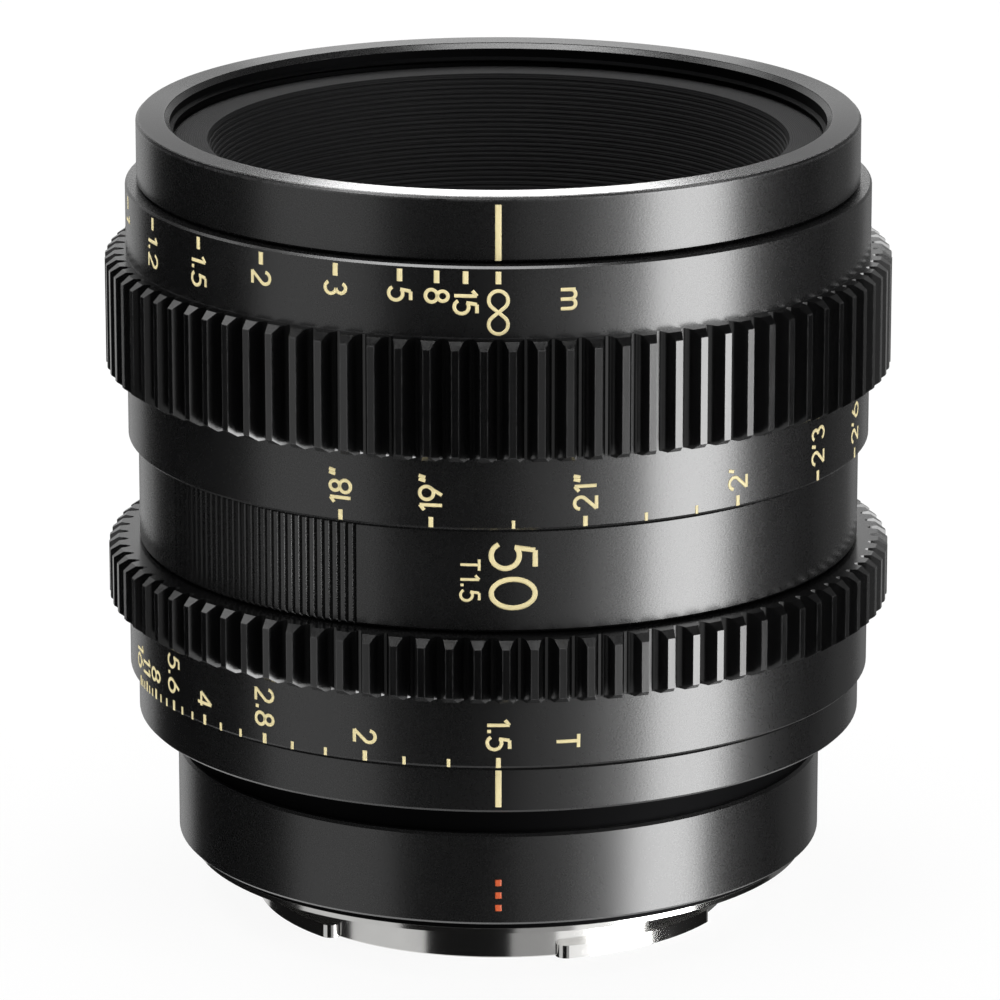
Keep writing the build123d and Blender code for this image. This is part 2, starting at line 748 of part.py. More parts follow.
def make_cam_rollers():
    """Three rollers that run in the guide slots and the helical slots."""
    outer = cam_radius - running_fit
    rollers = []
    for angle in round_the_axis(roller_count, roller_angle):
        roller = radial_pin(angle, roller_z, carriage_radius, outer, roller_radius)
        bore = radial_pin(angle, roller_z, carriage_radius - overrun, outer + overrun, roller_bore_radius)
        counterbore = radial_pin(
            angle, roller_z, outer - roller_screw_head_height, outer + overrun, roller_screw_head_radius
        )
        rollers.append(roller - bore - counterbore)
    return rollers


def make_roller_screws():
    """The screws that hold the rollers to the carriage."""
    outer = cam_radius - running_fit
    seat, inner = outer - roller_screw_head_height, carriage_bore + running_fit
    screws = []
    for angle in round_the_axis(roller_count, roller_angle):
        shank = radial_pin(angle, roller_z, inner, seat, roller_bore_radius - seat_gap)
        head = radial_pin(angle, roller_z, seat, outer, roller_screw_head_radius - seat_gap)
        screws.append(shank + head)
    return screws


def make_front_cell():
    """The front group's cell, stepped for three elements."""
    foot = front_cell_z
    neck_foot = front_cell_top - lock_ring_height
    third_bore, second_bore = third_glass_radius + glass_fit, second_glass_radius + glass_fit
    front_bore, throat = front_glass_radius + glass_fit, open_radius + cover_opening_margin
    return turned(
        (throat, foot), (cell_radius, foot), (cell_radius, neck_foot), (front_neck_radius, neck_foot),
        (front_neck_radius, front_cell_top), (front_bore, front_cell_top),
        (front_bore, foot + front_glass_foot), (second_bore, foot + front_glass_foot),
        (second_bore, foot + second_glass_foot), (third_bore, foot + second_glass_foot),
        (third_bore, foot + third_glass_foot), (throat, foot + third_glass_foot),
    )


def make_front_glass():
    """The three front elements, back to front."""
    foot = front_cell_z
    third_z, second_z, front_z = foot + third_glass_foot, foot + second_glass_foot, foot + front_glass_foot
    return (
        glass(third_glass_radius, third_z, third_z + third_glass_edge, third_glass_rear_bulge,
              third_glass_front_bulge),
        glass(second_glass_radius, second_z, second_z + second_glass_edge, second_glass_rear_bulge,
              second_glass_front_bulge),
        glass(front_glass_radius, front_z, front_z + front_glass_edge, front_glass_rear_bulge,
              front_glass_front_bulge),
    )


def make_front_spacers():
    """The ring between the third and second elements, and the one that holds the second."""
    second_z, front_z = front_cell_z + second_glass_foot, front_cell_z + front_glass_foot
    return (
        ring(third_glass_radius - rim_flat, third_glass_radius, second_z - middle_spacer_height, second_z),
        ring(second_glass_radius - rim_flat, second_glass_radius, front_z - front_spacer_height, front_z),
    )


def make_front_retaining_ring():
    """The threaded ring in front of the first element, bevelled towards the glass."""
    bottom = front_cell_z + front_glass_foot + front_glass_edge
    inner = front_glass_radius - rim_flat
    top = bottom + retaining_ring_height
    return turned(
        (inner, bottom), (front_glass_radius, bottom), (front_glass_radius, top), (inner + rim_flat / 2, top)
    )


def make_carriage_lock_ring():
    """The ring that locks the front cell in the carriage."""
    bottom = front_cell_top - lock_ring_height
    return ring(front_neck_radius + seat_gap, cell_radius, bottom, front_cell_top)


def make_iris_housing():
    """The iris's base plate and its rim."""
    opening, rim_inner = open_radius + iris_opening_margin, cell_radius - iris_rim_wall
    body = turned(
        (opening, cell_flange_top), (cell_radius, cell_flange_top), (cell_radius, iris_cover_z),
        (rim_inner, iris_cover_z), (rim_inner, iris_base_top), (opening, iris_base_top),
    )
    return body - arm_slot(rim_inner, cell_radius)


def make_iris_cover():
    """The plate over the iris's cam ring."""
    return ring(open_radius + cover_opening_margin, cell_radius, iris_cover_z, front_cell_z)


def make_blade_posts():
    """The pins that the blades pivot on."""
    top = cam_ring_z - running_fit
    radius = blade_hole_radius - running_fit
    return [
        upright_pin(angle, blade_pivot_radius, iris_base_top, top, radius)
        for angle in round_the_axis(blade_count)
    ]


def make_rear_cell():
    """The rear group's cell, hung from a flange on the carriage's ledge."""
    foot = ledge_top - rear_cell_length
    upper_bore = third_glass_radius + glass_fit
    lower_bore = sixth_glass_radius + glass_fit
    upper_step = cell_flange_top - rear_upper_depth
    lower_step = foot + sixth_glass_foot + sixth_glass_edge
    return turned(
        (lower_bore, foot), (rear_cell_radius, foot), (rear_cell_radius, ledge_top), (cell_radius, ledge_top),
        (cell_radius, cell_flange_top), (upper_bore, cell_flange_top), (upper_bore, upper_step),
        (rear_throat, upper_step), (rear_throat, lower_step), (lower_bore, lower_step),
    )


def make_rear_glass():
    """The four rear elements, front to back."""
    foot = ledge_top - rear_cell_length
    fifth_z = cell_flange_top - rear_upper_depth
    fourth_z = fifth_z + fifth_glass_edge + rear_upper_spacer_height
    sixth_z, seventh_z = foot + sixth_glass_foot, foot + seventh_glass_foot
    return (
        glass(third_glass_radius, fourth_z, fourth_z + fourth_glass_edge, 0, fourth_glass_front_bulge),
        glass(third_glass_radius, fifth_z, fifth_z + fifth_glass_edge, fifth_glass_rear_bulge, 0),
        glass(sixth_glass_radius, sixth_z, sixth_z + sixth_glass_edge, sixth_glass_rear_bulge, 0),
        glass(sixth_glass_radius, seventh_z, seventh_z + seventh_glass_edge, seventh_glass_rear_bulge, 0),
    )


def make_rear_spacers():
    """The spacers between the rear elements, and the ring that holds them in."""
    foot = ledge_top - rear_cell_length
    fifth_top = cell_flange_top - rear_upper_depth + fifth_glass_edge
    upper_inner, lower_inner = third_glass_radius - rim_flat, sixth_glass_radius - rim_flat
    sixth_z = foot + sixth_glass_foot
    return (
        ring(upper_inner, third_glass_radius, fifth_top, fifth_top + rear_upper_spacer_height),
        ring(lower_inner, sixth_glass_radius, sixth_z - rear_lower_spacer_height, sixth_z),
        ring(lower_inner, sixth_glass_radius, foot, foot + seventh_glass_foot),
    )


# Iris drive
def make_iris_ring():
    """The iris ring, with the seat of its gear and the groove of its stop."""
    body = turned(
        (iris_bore, iris_ring_z), (iris_radius - edge_break, iris_ring_z),
        (iris_radius, iris_ring_z + edge_break), (iris_radius, iris_gear_z), (iris_seat_radius, iris_gear_z),
        (iris_seat_radius, iris_gear_top), (iris_bore, iris_gear_top),
    )
    groove = stop_groove(iris_radius, iris_ring_z, iris_turn)
    return body - groove - fork_screw_bars(fork_screw_radius + seat_gap, iris_bore - overrun, overrun)


def fork_screw_bars(radius, inner, past):
    """Bars along the two screws that hold the fork, under the iris gear."""
    heights = [iris_gear_z + iris_gear_width * share for share in fork_screw_height_shares]
    return [radial_pin(drive_angle, height, inner, iris_seat_radius + past, radius) for height in heights]


def make_iris_fork():
    """The fork that turns the iris arm and lets it slide as the lens focuses."""
    half = angle_for(fork_width / 2, bearing_bore)
    outer = iris_bore - seat_gap
    body = sector(fork_inner_radius, outer, fork_bottom, fork_top, drive_angle - half, drive_angle + half)
    groove_half = angle_for(arm_width / 2 + running_fit, fork_inner_radius)
    groove = sector(
        fork_inner_radius - overrun, arm_reach + arm_clearance, fork_bottom - overrun, fork_top + overrun,
        drive_angle - groove_half, drive_angle + groove_half,
    )
    return body - groove - fork_screw_bars(fork_screw_radius + seat_gap, iris_bore - fork_screw_reach, 0)


def make_fork_screws():
    """The two screws that hold the fork to the iris ring."""
    return fork_screw_bars(fork_screw_radius, iris_bore - fork_screw_reach + seat_gap, -seat_gap)


def pin_place(turn):
    """Where a blade's drive pin stands, (x, y) with the pivot on +X, once the blade has turned."""
    half = blade_turn / 2
    angle = radians(-90 - half + turn)
    return blade_pivot_radius + blade_heel * cos(angle), blade_heel * sin(angle)


def make_iris_cam_ring():
    """The slotted ring that swings the blades, and its drive arm."""
    width = blade_pin_radius + slot_clearance
    bore = hypot(*pin_place(0)) - width - cam_ring_web
    body = ring(bore, cam_ring_radius, cam_ring_z, cam_ring_top)
    half = angle_for(arm_width / 2, fork_inner_radius)
    root = cam_ring_radius - running_fit
    body += sector(root, arm_reach, cam_ring_z, cam_ring_top, drive_angle - half, drive_angle + half)
    path = []
    for index in range(cam_slot_points):
        share = index / (cam_slot_points - 1)
        x, y = pin_place(share * blade_turn)
        angle = atan2(y, x) - radians(share * iris_turn)
        path.append((hypot(x, y) * cos(angle), hypot(x, y) * sin(angle)))
    line = Spline(*path)
    slot = trace(line, 2 * width) + Pos(*path[0]) * Circle(width) + Pos(*path[-1]) * Circle(width)
    cutter = Pos(0, 0, cam_ring_z - overrun) * extrude(slot, cam_ring_thickness + 2 * overrun)
    return body - [Rot(0, 0, angle - 90) * cutter for angle in round_the_axis(blade_count)]


def make_blade(index):
    """One iris blade: a curved leaf, an ear on its pivot, and a heel with its drive pin."""
    outer = open_radius + blade_width
    half_span = radians(blade_span / 2)
    leaf = make_face([
        ThreePointArc((outer, 0), (outer * cos(half_span), outer * sin(half_span)),
                      (outer * cos(2 * half_span), outer * sin(2 * half_span))),
        Line((outer * cos(2 * half_span), outer * sin(2 * half_span)),
             (open_radius * cos(2 * half_span), open_radius * sin(2 * half_span))),
        ThreePointArc((open_radius * cos(2 * half_span), open_radius * sin(2 * half_span)),
                      (open_radius * cos(half_span), open_radius * sin(half_span)), (open_radius, 0)),
        Line((open_radius, 0), (outer, 0)),
    ])
    pivot, pin = (blade_pivot_radius, 0), pin_place(0)
    heel_width = 2 * blade_pin_radius + blade_ear_radius / 2
    heel = trace(Line(pivot, pin), heel_width) + Pos(*pin) * Circle(heel_width / 2)
    root_radius = outer - blade_ear_radius / 2
    neck = make_face(Polyline(
        (pivot[0], -blade_ear_radius), (pivot[0], blade_ear_radius),
        (root_radius, 2 * blade_ear_radius), (root_radius, 0), close=True,
    ))
    ear = Pos(*pivot) * Circle(blade_ear_radius)
    plate = leaf + neck + ear + heel - Pos(*pivot) * Circle(blade_hole_radius)
    bottom = first_blade_z + index * blade_pitch
    blade = Pos(0, 0, bottom) * extrude(plate, blade_thickness)
    pin_top = cam_ring_top - running_fit
    blade += Pos(*pin, bottom) * extrude(Circle(blade_pin_radius), pin_top - bottom)
    return Rot(0, 0, index * 360 / blade_count - 90) * blade


third_element, second_element, front_element = make_front_glass()
middle_spacer, front_spacer = make_front_spacers()
fourth_element, fifth_element, sixth_element, seventh_element = make_rear_glass()
rear_upper_spacer, rear_lower_spacer, rear_retaining_ring = make_rear_spacers()

focus_gear = gear_ring(
    focus_seat_radius + seat_gap, focus_radius, focus_gear_z, focus_gear_width, focus_tooth_phase
)
iris_gear = gear_ring(
    iris_seat_radius + seat_gap, iris_radius, iris_gear_z, iris_gear_width, iris_tooth_phase
)

pieces = {
    "front_ring": make_front_ring(),
    "ribbed_baffle": make_ribbed_baffle(),
    "main_barrel": make_main_barrel(),
    "mid_barrel": make_mid_barrel(),
    "rear_barrel": make_rear_barrel(),
    "mount_barrel": make_mount_barrel(),
    "mount_shim": make_mount_shim(),
    "bayonet_mount": make_bayonet_mount(),
    "mount_screws": make_mount_screws(),
    "rear_baffle": make_rear_baffle(),
    "focus_glide_front": make_focus_glide_front(),
    "focus_glide_rear": make_focus_glide_rear(),
    "iris_glide_ring": make_iris_glide_ring(),
    "focus_stop_pin": make_stop_pin(mid_barrel_top, focus_radius),
    "iris_stop_pin": make_stop_pin(rear_barrel_top, iris_radius),
    "focus_ring": make_focus_ring(),
    "focus_gear": focus_gear,
    "focus_scale_ring": make_scale_ring(),
    "cam_sleeve": make_cam_sleeve(),
    "drive_screws": make_drive_screws(),
    "lens_carriage": make_lens_carriage(),
    "cam_rollers": make_cam_rollers(),
    "roller_screws": make_roller_screws(),
    "front_cell": make_front_cell(),
    "front_retaining_ring": make_front_retaining_ring(),
    "carriage_lock_ring": make_carriage_lock_ring(),
    "front_element": front_element,
    "second_element": second_element,
    "third_element": third_element,
    "front_spacer": front_spacer,
    "middle_spacer": middle_spacer,
    "iris_housing": make_iris_housing(),
    "iris_cover": make_iris_cover(),
    "blade_posts": make_blade_posts(),
    "rear_cell": make_rear_cell(),
    "fourth_element": fourth_element,
    "fifth_element": fifth_element,
    "sixth_element": sixth_element,
    "seventh_element": seventh_element,
    "rear_upper_spacer": rear_upper_spacer,
    "rear_lower_spacer": rear_lower_spacer,
    "rear_retaining_ring": rear_retaining_ring,
    "iris_ring": make_iris_ring(),
    "iris_gear": iris_gear,
    "iris_fork": make_iris_fork(),
    "fork_screws": make_fork_screws(),
    "iris_cam_ring": make_iris_cam_ring(),
}
for index in range(blade_count):
    pieces["iris_blade_%d" % (index + 1)] = make_blade(index)

os.makedirs("parts", exist_ok=True)
for name, piece in pieces.items():
    solids = [solid for each in (piece if isinstance(piece, list) else [piece]) for solid in each.solids()]
    export_step(Compound(solids) if len(solids) > 1 else solids[0], "parts/%s.step" % name)
print("focus travel", round(focus_travel, 3), "mm; blade turn", round(blade_turn, 2), "degrees")
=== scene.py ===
from math import acos, cos, degrees, pi, radians, sin, sqrt

import bmesh
import bpy
from bpy.props import FloatProperty, FloatVectorProperty, IntProperty, PointerProperty
from mathutils import Matrix, Vector


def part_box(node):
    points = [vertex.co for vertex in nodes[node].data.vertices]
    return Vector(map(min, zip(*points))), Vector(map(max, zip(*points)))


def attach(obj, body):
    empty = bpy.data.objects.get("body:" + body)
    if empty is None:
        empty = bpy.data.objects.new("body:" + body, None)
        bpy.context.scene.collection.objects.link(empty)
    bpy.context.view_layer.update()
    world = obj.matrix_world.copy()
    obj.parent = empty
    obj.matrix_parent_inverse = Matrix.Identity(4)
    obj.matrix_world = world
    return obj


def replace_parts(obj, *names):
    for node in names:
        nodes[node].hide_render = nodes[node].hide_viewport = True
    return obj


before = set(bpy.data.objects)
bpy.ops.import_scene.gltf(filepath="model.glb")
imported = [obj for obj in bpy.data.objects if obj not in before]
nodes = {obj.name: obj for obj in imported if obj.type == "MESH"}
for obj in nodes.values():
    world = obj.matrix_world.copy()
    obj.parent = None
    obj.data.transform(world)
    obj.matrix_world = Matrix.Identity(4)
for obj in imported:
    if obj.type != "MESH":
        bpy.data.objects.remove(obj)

bl_info = {
    "name": "Cinema prime lens",
    "version": (1, 0, 0),
    "blender": (4, 5, 0),
    "location": "View3D > Sidebar > Cinema lens",
    "description": "Finishes, scales, thread and studio for a manual cinema prime lens",
    "category": "Object",
}

mm = 0.001
inch = 0.0254


def low(node):
    """The height of a node's lower end."""
    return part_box(node)[0].z


def top(node):
    """The height of a node's upper end."""
    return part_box(node)[1].z


def rim(node):
    """The outside radius of a node that is turned on the optical axis."""
    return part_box(node)[1].x


def name_size(title, default, words):
    """A length that a user may change."""
    return FloatProperty(name=title, description=words, default=default, min=0, unit="LENGTH", precision=5)


def name_colour(title, default, words):
    """A colour that a user may change."""
    return FloatVectorProperty(
        name=title, description=words, default=default, size=3, min=0, max=1, subtype="COLOR")


def name_amount(title, default, words, most=1000):
    """A plain number that a user may change."""
    return FloatProperty(name=title, description=words, default=default, min=0, max=most)


class LensFinishes(bpy.types.PropertyGroup):
    """Colours and surface sizes of the metal, the coatings and the glass."""

    anodised: name_colour("Anodised black", (0.0030, 0.0030, 0.0032), "The rings' satin black")
    anodised_pale: name_colour("Anodised pale", (0.0062, 0.0062, 0.0065), "Black where the dye is thinner")
    # Painted shade: this black stands in for the shade under the rear barrel, in the front ring's bore and on
    # the bayonet's wall under the barrel.
    neck: name_colour("Neck black", (0.0038, 0.0038, 0.004), "The dead black behind the rear collar")
    # This lighter colour along edges is partly wear and partly a painted highlight.
    worn: name_colour("Worn edge", (0.11, 0.11, 0.112), "The metal that shows along a handled edge")
    gear: name_colour("Gear black", (0.0012, 0.0012, 0.0013), "The glossier black of the gear teeth")
    baffle: name_colour("Baffle black", (0.0034, 0.0034, 0.0036), "The matt black inside the front")
    chrome: name_colour("Chrome", (0.72, 0.715, 0.70), "The plated bayonet")
    brass: name_colour("Brass", (0.66, 0.46, 0.20), "The shim and the rollers")
    steel: name_colour("Steel", (0.46, 0.455, 0.45), "Screws and pins")
    blade: name_colour("Blade", (0.05, 0.051, 0.054), "The iris blades' dark coating")
    polymer: name_colour("Polymer", (0.04, 0.04, 0.042), "The glide rings")
    coating_warm: name_colour("Coating, warm", (0.80, 0.42, 0.62), "The magenta of the front coating")
    coating_cool: name_colour("Coating, cool", (0.36, 0.72, 0.62), "The green of the inner coatings")
    grain: name_size("Grain", 0.20 * mm, "The size of the blasted grain")
    grain_depth: name_size("Grain depth", 0.004 * mm, "The depth of the blasted grain")
    turning: name_size("Turning pitch", 0.11 * mm, "The pitch of the lathe's fine lines")
    rim_slope: name_amount("Rim slope", 0.21, "How far the rim's flat falls outwards for a unit across")
    edge_width: name_size("Worn width", 0.16 * mm, "How far from an edge the wear reaches")


class LensMarks(bpy.types.PropertyGroup):
    """Sizes and colours of the engraved and filled marks."""

    paint: name_colour("Scale paint", (0.86, 0.74, 0.40), "The pale yellow of the scales")
    signal: name_colour("Signal paint", (0.72, 0.11, 0.02), "The orange of the mount's squares")
    numeral: name_size("Numeral height", 2.02 * mm, "The height of the numerals between stroke middles")
    stroke: name_size("Stroke", 0.34 * mm, "The width of the scales' strokes")
    large_numeral: name_size("Large numeral height", 3.95 * mm, "The height of the focal length")
    large_stroke: name_size("Large stroke", 0.50 * mm, "The width of the focal length's strokes")
    small_numeral: name_size("Small numeral height", 1.68 * mm, "The height of the largest stop's numerals")
    small_stroke: name_size("Small stroke", 0.27 * mm, "The width of the largest stop's strokes")
    tick: name_size("Tick", 1.15 * mm, "The length of a metre tick")
    tick_width: name_size("Tick width", 0.52 * mm, "The width of a metre tick")
    short_tick: name_size("Short tick", 0.95 * mm, "The length of a foot or stop tick")
    short_tick_width: name_size("Short tick width", 0.45 * mm, "The width of a foot or stop tick")
    part_tick: name_size("Part tick", 0.75 * mm, "The length of a tick with no numeral")
    part_tick_width: name_size("Part tick width", 0.32 * mm, "The width of a tick with no numeral")
    index_width: name_size("Index width", 0.58 * mm, "The width of the two index lines")
    fill: name_size("Fill height", 0.022 * mm, "How far the paint stands proud")
    square: name_size("Square", 0.60 * mm, "The side of an orange square")


class LensThread(bpy.types.PropertyGroup):
    """The filter thread in the front ring."""

    pitch: name_size("Pitch", 0.75 * mm, "The rise of one turn")
    depth: name_size("Depth", 0.36 * mm, "The depth of the thread")
    steps: IntProperty(name="Steps", description="Steps in a turn", default=240, min=24, max=720)


class LensStudio(bpy.types.PropertyGroup):
    """The camera, the table, the lamps and the cards."""

    distance: name_size("Camera distance", 648.9 * mm, "From the camera to the point it looks at")
    aim: name_size("Aim height", 33.02 * mm, "The height on the axis that the camera looks at")
    focal: name_amount("Focal length", 247.07, "The camera's, in millimetres")
    elevation: FloatProperty(
        name="Elevation", description="The camera's angle above the horizon",
        default=radians(15.956), min=0, max=pi / 2, subtype="ANGLE")
    shift: FloatProperty(name="Shift", description="The frame's sideways shift", default=0.0016)
    side: name_amount("Side level", 2.1, "The brightness of the four side lamps")
    overhead: name_amount("Overhead level", 2.2, "The brightness of the top lamp")
    reach: name_size("Card distance", 0.9, "From the axis to the reflection cards")
    ceiling: name_size("Ceiling", 1.0, "The height of the reflection cards overhead")
    floor: name_colour("Floor", (0.95, 0.95, 0.945), "The pale table")
    shadow: name_amount("Shadow", 0.11, "How much of the object's shadow the table keeps", 1)


class Flow:
    """One output of a material's node; sums and products on it add the nodes that work them out."""

    def __init__(self, finish, socket):
        self.finish = finish
        self.socket = socket

    def __add__(self, other):
        return self.finish.sum("ADD", self, other)

    def __sub__(self, other):
        return self.finish.sum("SUBTRACT", self, other)

    def __mul__(self, other):
        return self.finish.sum("MULTIPLY", self, other)

    def __truediv__(self, other):
        return self.finish.sum("DIVIDE", self, other)

    def __pow__(self, other):
        return self.finish.sum("POWER", self, other)

    def __radd__(self, other):
        return self.finish.sum("ADD", other, self)

    def __rsub__(self, other):
        return self.finish.sum("SUBTRACT", other, self)

    def __abs__(self):
        return self.finish.sum("ABSOLUTE", self)

    def larger(self, other):
        """The larger of two values."""
        return self.finish.sum("MAXIMUM", self, other)

    def smaller(self, other):
        """The smaller of two values."""
        return self.finish.sum("MINIMUM", self, other)

    def held(self):
        """The value, held between 0 and 1."""
        return self.larger(0).smaller(1)

    def wave(self):
        """The value's sine, lifted to run from 0 to 1."""
        return self.finish.sum("SINE", self) * 0.5 + 0.5

    def above(self, level, width):
        """0 below a level and 1 above it, with a soft step of the given width."""
        return ((self - level) / width + 0.5).held()


class Finish:
    """A material, or the studio's world, that is built up node by node."""

    def __init__(self, name, kind="materials"):
        self.material = getattr(bpy.data, kind).new(name)
        self.material.use_nodes = True
        self.tree = self.material.node_tree
        self.tree.nodes.clear()

    def add(self, kind, settings=None, sockets=None, output=0):
        """Adds a node of any kind: its settings first, then the values or links of its sockets."""
        node = self.tree.nodes.new("ShaderNode" + kind)
        for name, value in (settings or {}).items():
            setattr(node, name, value)
        for name, value in (sockets or {}).items():
            if isinstance(value, Flow):
                self.tree.links.new(value.socket, node.inputs[name])
            else:
                node.inputs[name].default_value = value
        return Flow(self, node.outputs[output]) if node.outputs else node

    def seen(self):
        """1 for what the camera, a reflection or the glass sees, and 0 for what lights a matt surface."""
        outputs = self.add("LightPath").socket.node.outputs
        camera, glossy, through = [
            Flow(self, outputs[key]) for key in ("Is Camera Ray", "Is Glossy Ray", "Is Transmission Ray")]
        return camera.larger(glossy).larger(through)

    def sum(self, operation, *values):
        """A Math node on numbers or flows."""
        return self.add("Math", {"operation": operation}, dict(enumerate(values)))

    def place(self):
        """The point's place on the object, in millimetres."""
        point = self.add("TexCoord", output=3)
        return self.add("VectorMath", {"operation": "SCALE"}, {0: point, "Scale": 1 / mm})

    def axes(self, point):
        """The three numbers of a point."""
        split = self.add("SeparateXYZ", sockets={0: point})
        return [Flow(self, socket) for socket in split.socket.node.outputs]

    def stretched(self, point, x, y, z):
        """A point scaled by its own amount along each axis."""
        return self.add("VectorMath", {"operation": "MULTIPLY"}, {0: point, 1: (x, y, z)})

    def noise(self, point, size, detail=2.0, roughness=0.5):
        """Soft noise whose lumps are about the given number of millimetres across."""
        return self.add("TexNoise", sockets={
            "Vector": point, "Scale": 1 / size, "Detail": detail, "Roughness": roughness})

    def mixed(self, share, first, second):
        """Two colours mixed by a share."""
        first, second = [value if isinstance(value, Flow) else (*value, 1) for value in (first, second)]
        return self.add("Mix", {"data_type": "RGBA"}, {0: share, 6: first, 7: second}, 2)

    def bumped(self, height, depth, normal=None):
        """A normal bent by a height from 0 to 1 that is worth the given depth in metres."""
        sockets = {"Height": height, "Distance": depth, "Strength": 1.0}
        if normal:
            sockets["Normal"] = normal
        return self.add("Bump", sockets=sockets)

    def done(self, **sockets):
        """Ends the material in a Principled shader with the given sockets."""
        sockets = {name.replace("_", " "): value for name, value in sockets.items()}
        shader = self.add("BsdfPrincipled", sockets=sockets)
        self.add("OutputMaterial", sockets={"Surface": shader})
        return self.material


def finishes():
    """The finishes' settings in this scene."""
    return bpy.context.scene.lens_finishes


def marks():
    """The marks' settings in this scene."""
    return bpy.context.scene.lens_marks


def scaled(colour, factor):
    """A colour made brighter or darker."""
    return [channel * factor for channel in colour]


def diagonal(across, along):
    """The length of the diagonal over two sides."""
    return (across * across + along * along) ** 0.5


def edge_wear(finish, point, corners):
    """How near a point is to a ring's turned corners, broken up by noise."""
    x, y, z = finish.axes(point)
    radius = diagonal(x, y)
    width = finishes().edge_width / mm
    worn = 0.0
    for corner_radius, corner_height in corners:
        away = diagonal(radius - corner_radius / mm, z - corner_height / mm)
        worn = (1 - away / width).held().larger(worn)
    patches = finish.noise(point, 1.7, detail=4.0, roughness=0.65)
    return worn * patches.above(0.44, 0.22)


def blasted_black(finish, point, corners, tone=1.0):
    """Blasted metal's grain, the wear and painted highlight along its turned corners, and its black dye with
    both in it.
    """
    look = finishes()
    grain = finish.noise(point, look.grain / mm, detail=1.0)
    cloud = finish.noise(point, 6.5, detail=3.0, roughness=0.55)
    worn = edge_wear(finish, point, corners)
    black = finish.mixed(
        (cloud - 0.5) * 0.9 + grain * 0.45, scaled(look.anodised, tone), scaled(look.anodised_pale, tone))
    # The lighter edge colour is partly wear and partly a painted highlight.
    return grain, worn, finish.mixed(worn * 0.3, black, look.worn)


satin_roughness = 0.275


def anodise(name, corners, roughness=satin_roughness, tone=1.0, neck=None):
    """Satin black anodising on blasted metal, with wear and a painted highlight along its turned corners, and
    dead black painted in as shade between two given heights.
    """
    look = finishes()
    finish = Finish(name)
    point = finish.place()
    grain, worn, black = blasted_black(finish, point, corners, tone)
    height = finish.axes(point)[2]
    # Painted shade: between the two heights the metal is a dead black that reflects almost nothing.
    in_painted_shade = height.above(neck[0] / mm, 0.03) * (1 - height.above(neck[1] / mm, 0.03)) if neck else 0.0
    touch = finish.noise(finish.stretched(point, 1, 1, 0.35), 11.0, detail=4.0, roughness=0.6)
    return finish.done(
        Base_Color=finish.mixed(in_painted_shade, black, look.neck),
        Metallic=in_painted_shade,
        Roughness=roughness + (touch - 0.5) * 0.10 + (grain - 0.5) * 0.06 - worn * 0.08 + in_painted_shade * 0.35,
        Specular_IOR_Level=0.8,
        Normal=finish.bumped(grain, look.grain_depth),
    )


def anodise_front():
    """The front ring: blasted outside, with fine lathe lines on its rim and round its bore, and dead black
    painted in as shade in the bore below the lip.
    """
    look = finishes()
    finish = Finish("front_ring_anodised")
    point = finish.place()
    x, y, z = finish.axes(point)
    radius = diagonal(x, y)
    outer, upper = rim("front_ring"), top("front_ring")
    bevel, land, wall, lip = [size * mm for size in (0.3, 2.65, 2.2, 0.52)]
    grain, _, black = blasted_black(finish, point, [
        (outer, upper - bevel), (outer - bevel, upper), (outer - land, upper),
        (outer, low("focus_scale_ring")),
    ])
    inside = 1 - radius.above((outer - wall) / mm, 0.02)
    # Painted shade: the bore below the lip is a dead black that reflects almost nothing.
    painted_shade_in_bore = inside * (1 - z.above((upper - lip) / mm, 0.04))
    flat = z.above(upper / mm - 0.05, 0.02)
    turned = flat.larger(inside)
    rings = (radius * (2 * pi * mm / look.turning)).wave()
    near_bevel = radius.above((outer - bevel) / mm, 0.02) * z.above((upper - bevel) / mm - 0.02, 0.02)
    fall = flat + near_bevel * (1 - flat) * 1.6
    slope = finish.bumped((outer / mm - radius) * fall, look.rim_slope * mm)
    return finish.done(
        Base_Color=finish.mixed(painted_shade_in_bore, black, look.neck),
        Metallic=painted_shade_in_bore,
        Roughness=satin_roughness + (grain - 0.5) * 0.06 - flat * 0.08 + painted_shade_in_bore * 0.35,
        Specular_IOR_Level=0.8,
        Normal=finish.bumped(grain * (1 - turned) + rings * turned * 0.4, look.grain_depth, slope),
    )


# Both gears' teeth, the bevel at a tooth's ends, and half a tooth's land in shares of the pitch.
gear_teeth = 90
tooth_bevel = 0.6 * mm
land_share = 0.134


def tooth_black(node, first_tooth):
    """A gear's machined black, lighter along each tooth's land and ends as wear and a painted highlight. One
    tooth stands at the given angle.
    """
    look = finishes()
    finish = Finish(node + "_black")
    point = finish.place()
    x, y, z = finish.axes(point)
    step = 2 * pi / gear_teeth
    turn = (finish.sum("ARCTAN2", x, 0 - y) - radians(first_tooth)) / step + 0.5
    phase = abs(finish.sum("FLOORED_MODULO", turn, 1) - 0.5)
    side = abs(phase - land_share) * (rim(node) / mm * step)
    down = rim(node) / mm - diagonal(x, y)
    ends = (z - (low(node) + tooth_bevel) / mm).smaller((top(node) - tooth_bevel) / mm - z)
    corner = (1 - diagonal(side, down) / 0.10).held()
    end = (1 - diagonal(ends, down) / 0.12).held()
    patches = finish.noise(point, 1.3, detail=4.0, roughness=0.7)
    worn = corner.larger(end) * patches.above(0.42, 0.25)
    grain = finish.noise(point, look.grain / mm * 0.8, detail=1.0)
    streaks = finish.noise(finish.stretched(point, 1, 1, 0.06), 0.35, detail=2.0)
    cloud = finish.noise(point, 5.0, detail=3.0)
    black = finish.mixed(cloud * 0.8, look.gear, scaled(look.gear, 2))
    return finish.done(
        # Lighter along the lands and ends: partly wear, partly a painted highlight.
        Base_Color=finish.mixed(worn * 0.25, black, look.worn),
        Roughness=0.21 + (streaks - 0.5) * 0.10 + (cloud - 0.5) * 0.06,
        Specular_IOR_Level=0.7,
        Normal=finish.bumped(grain * 0.5 + streaks * 0.5, look.grain_depth * 0.5),
    )


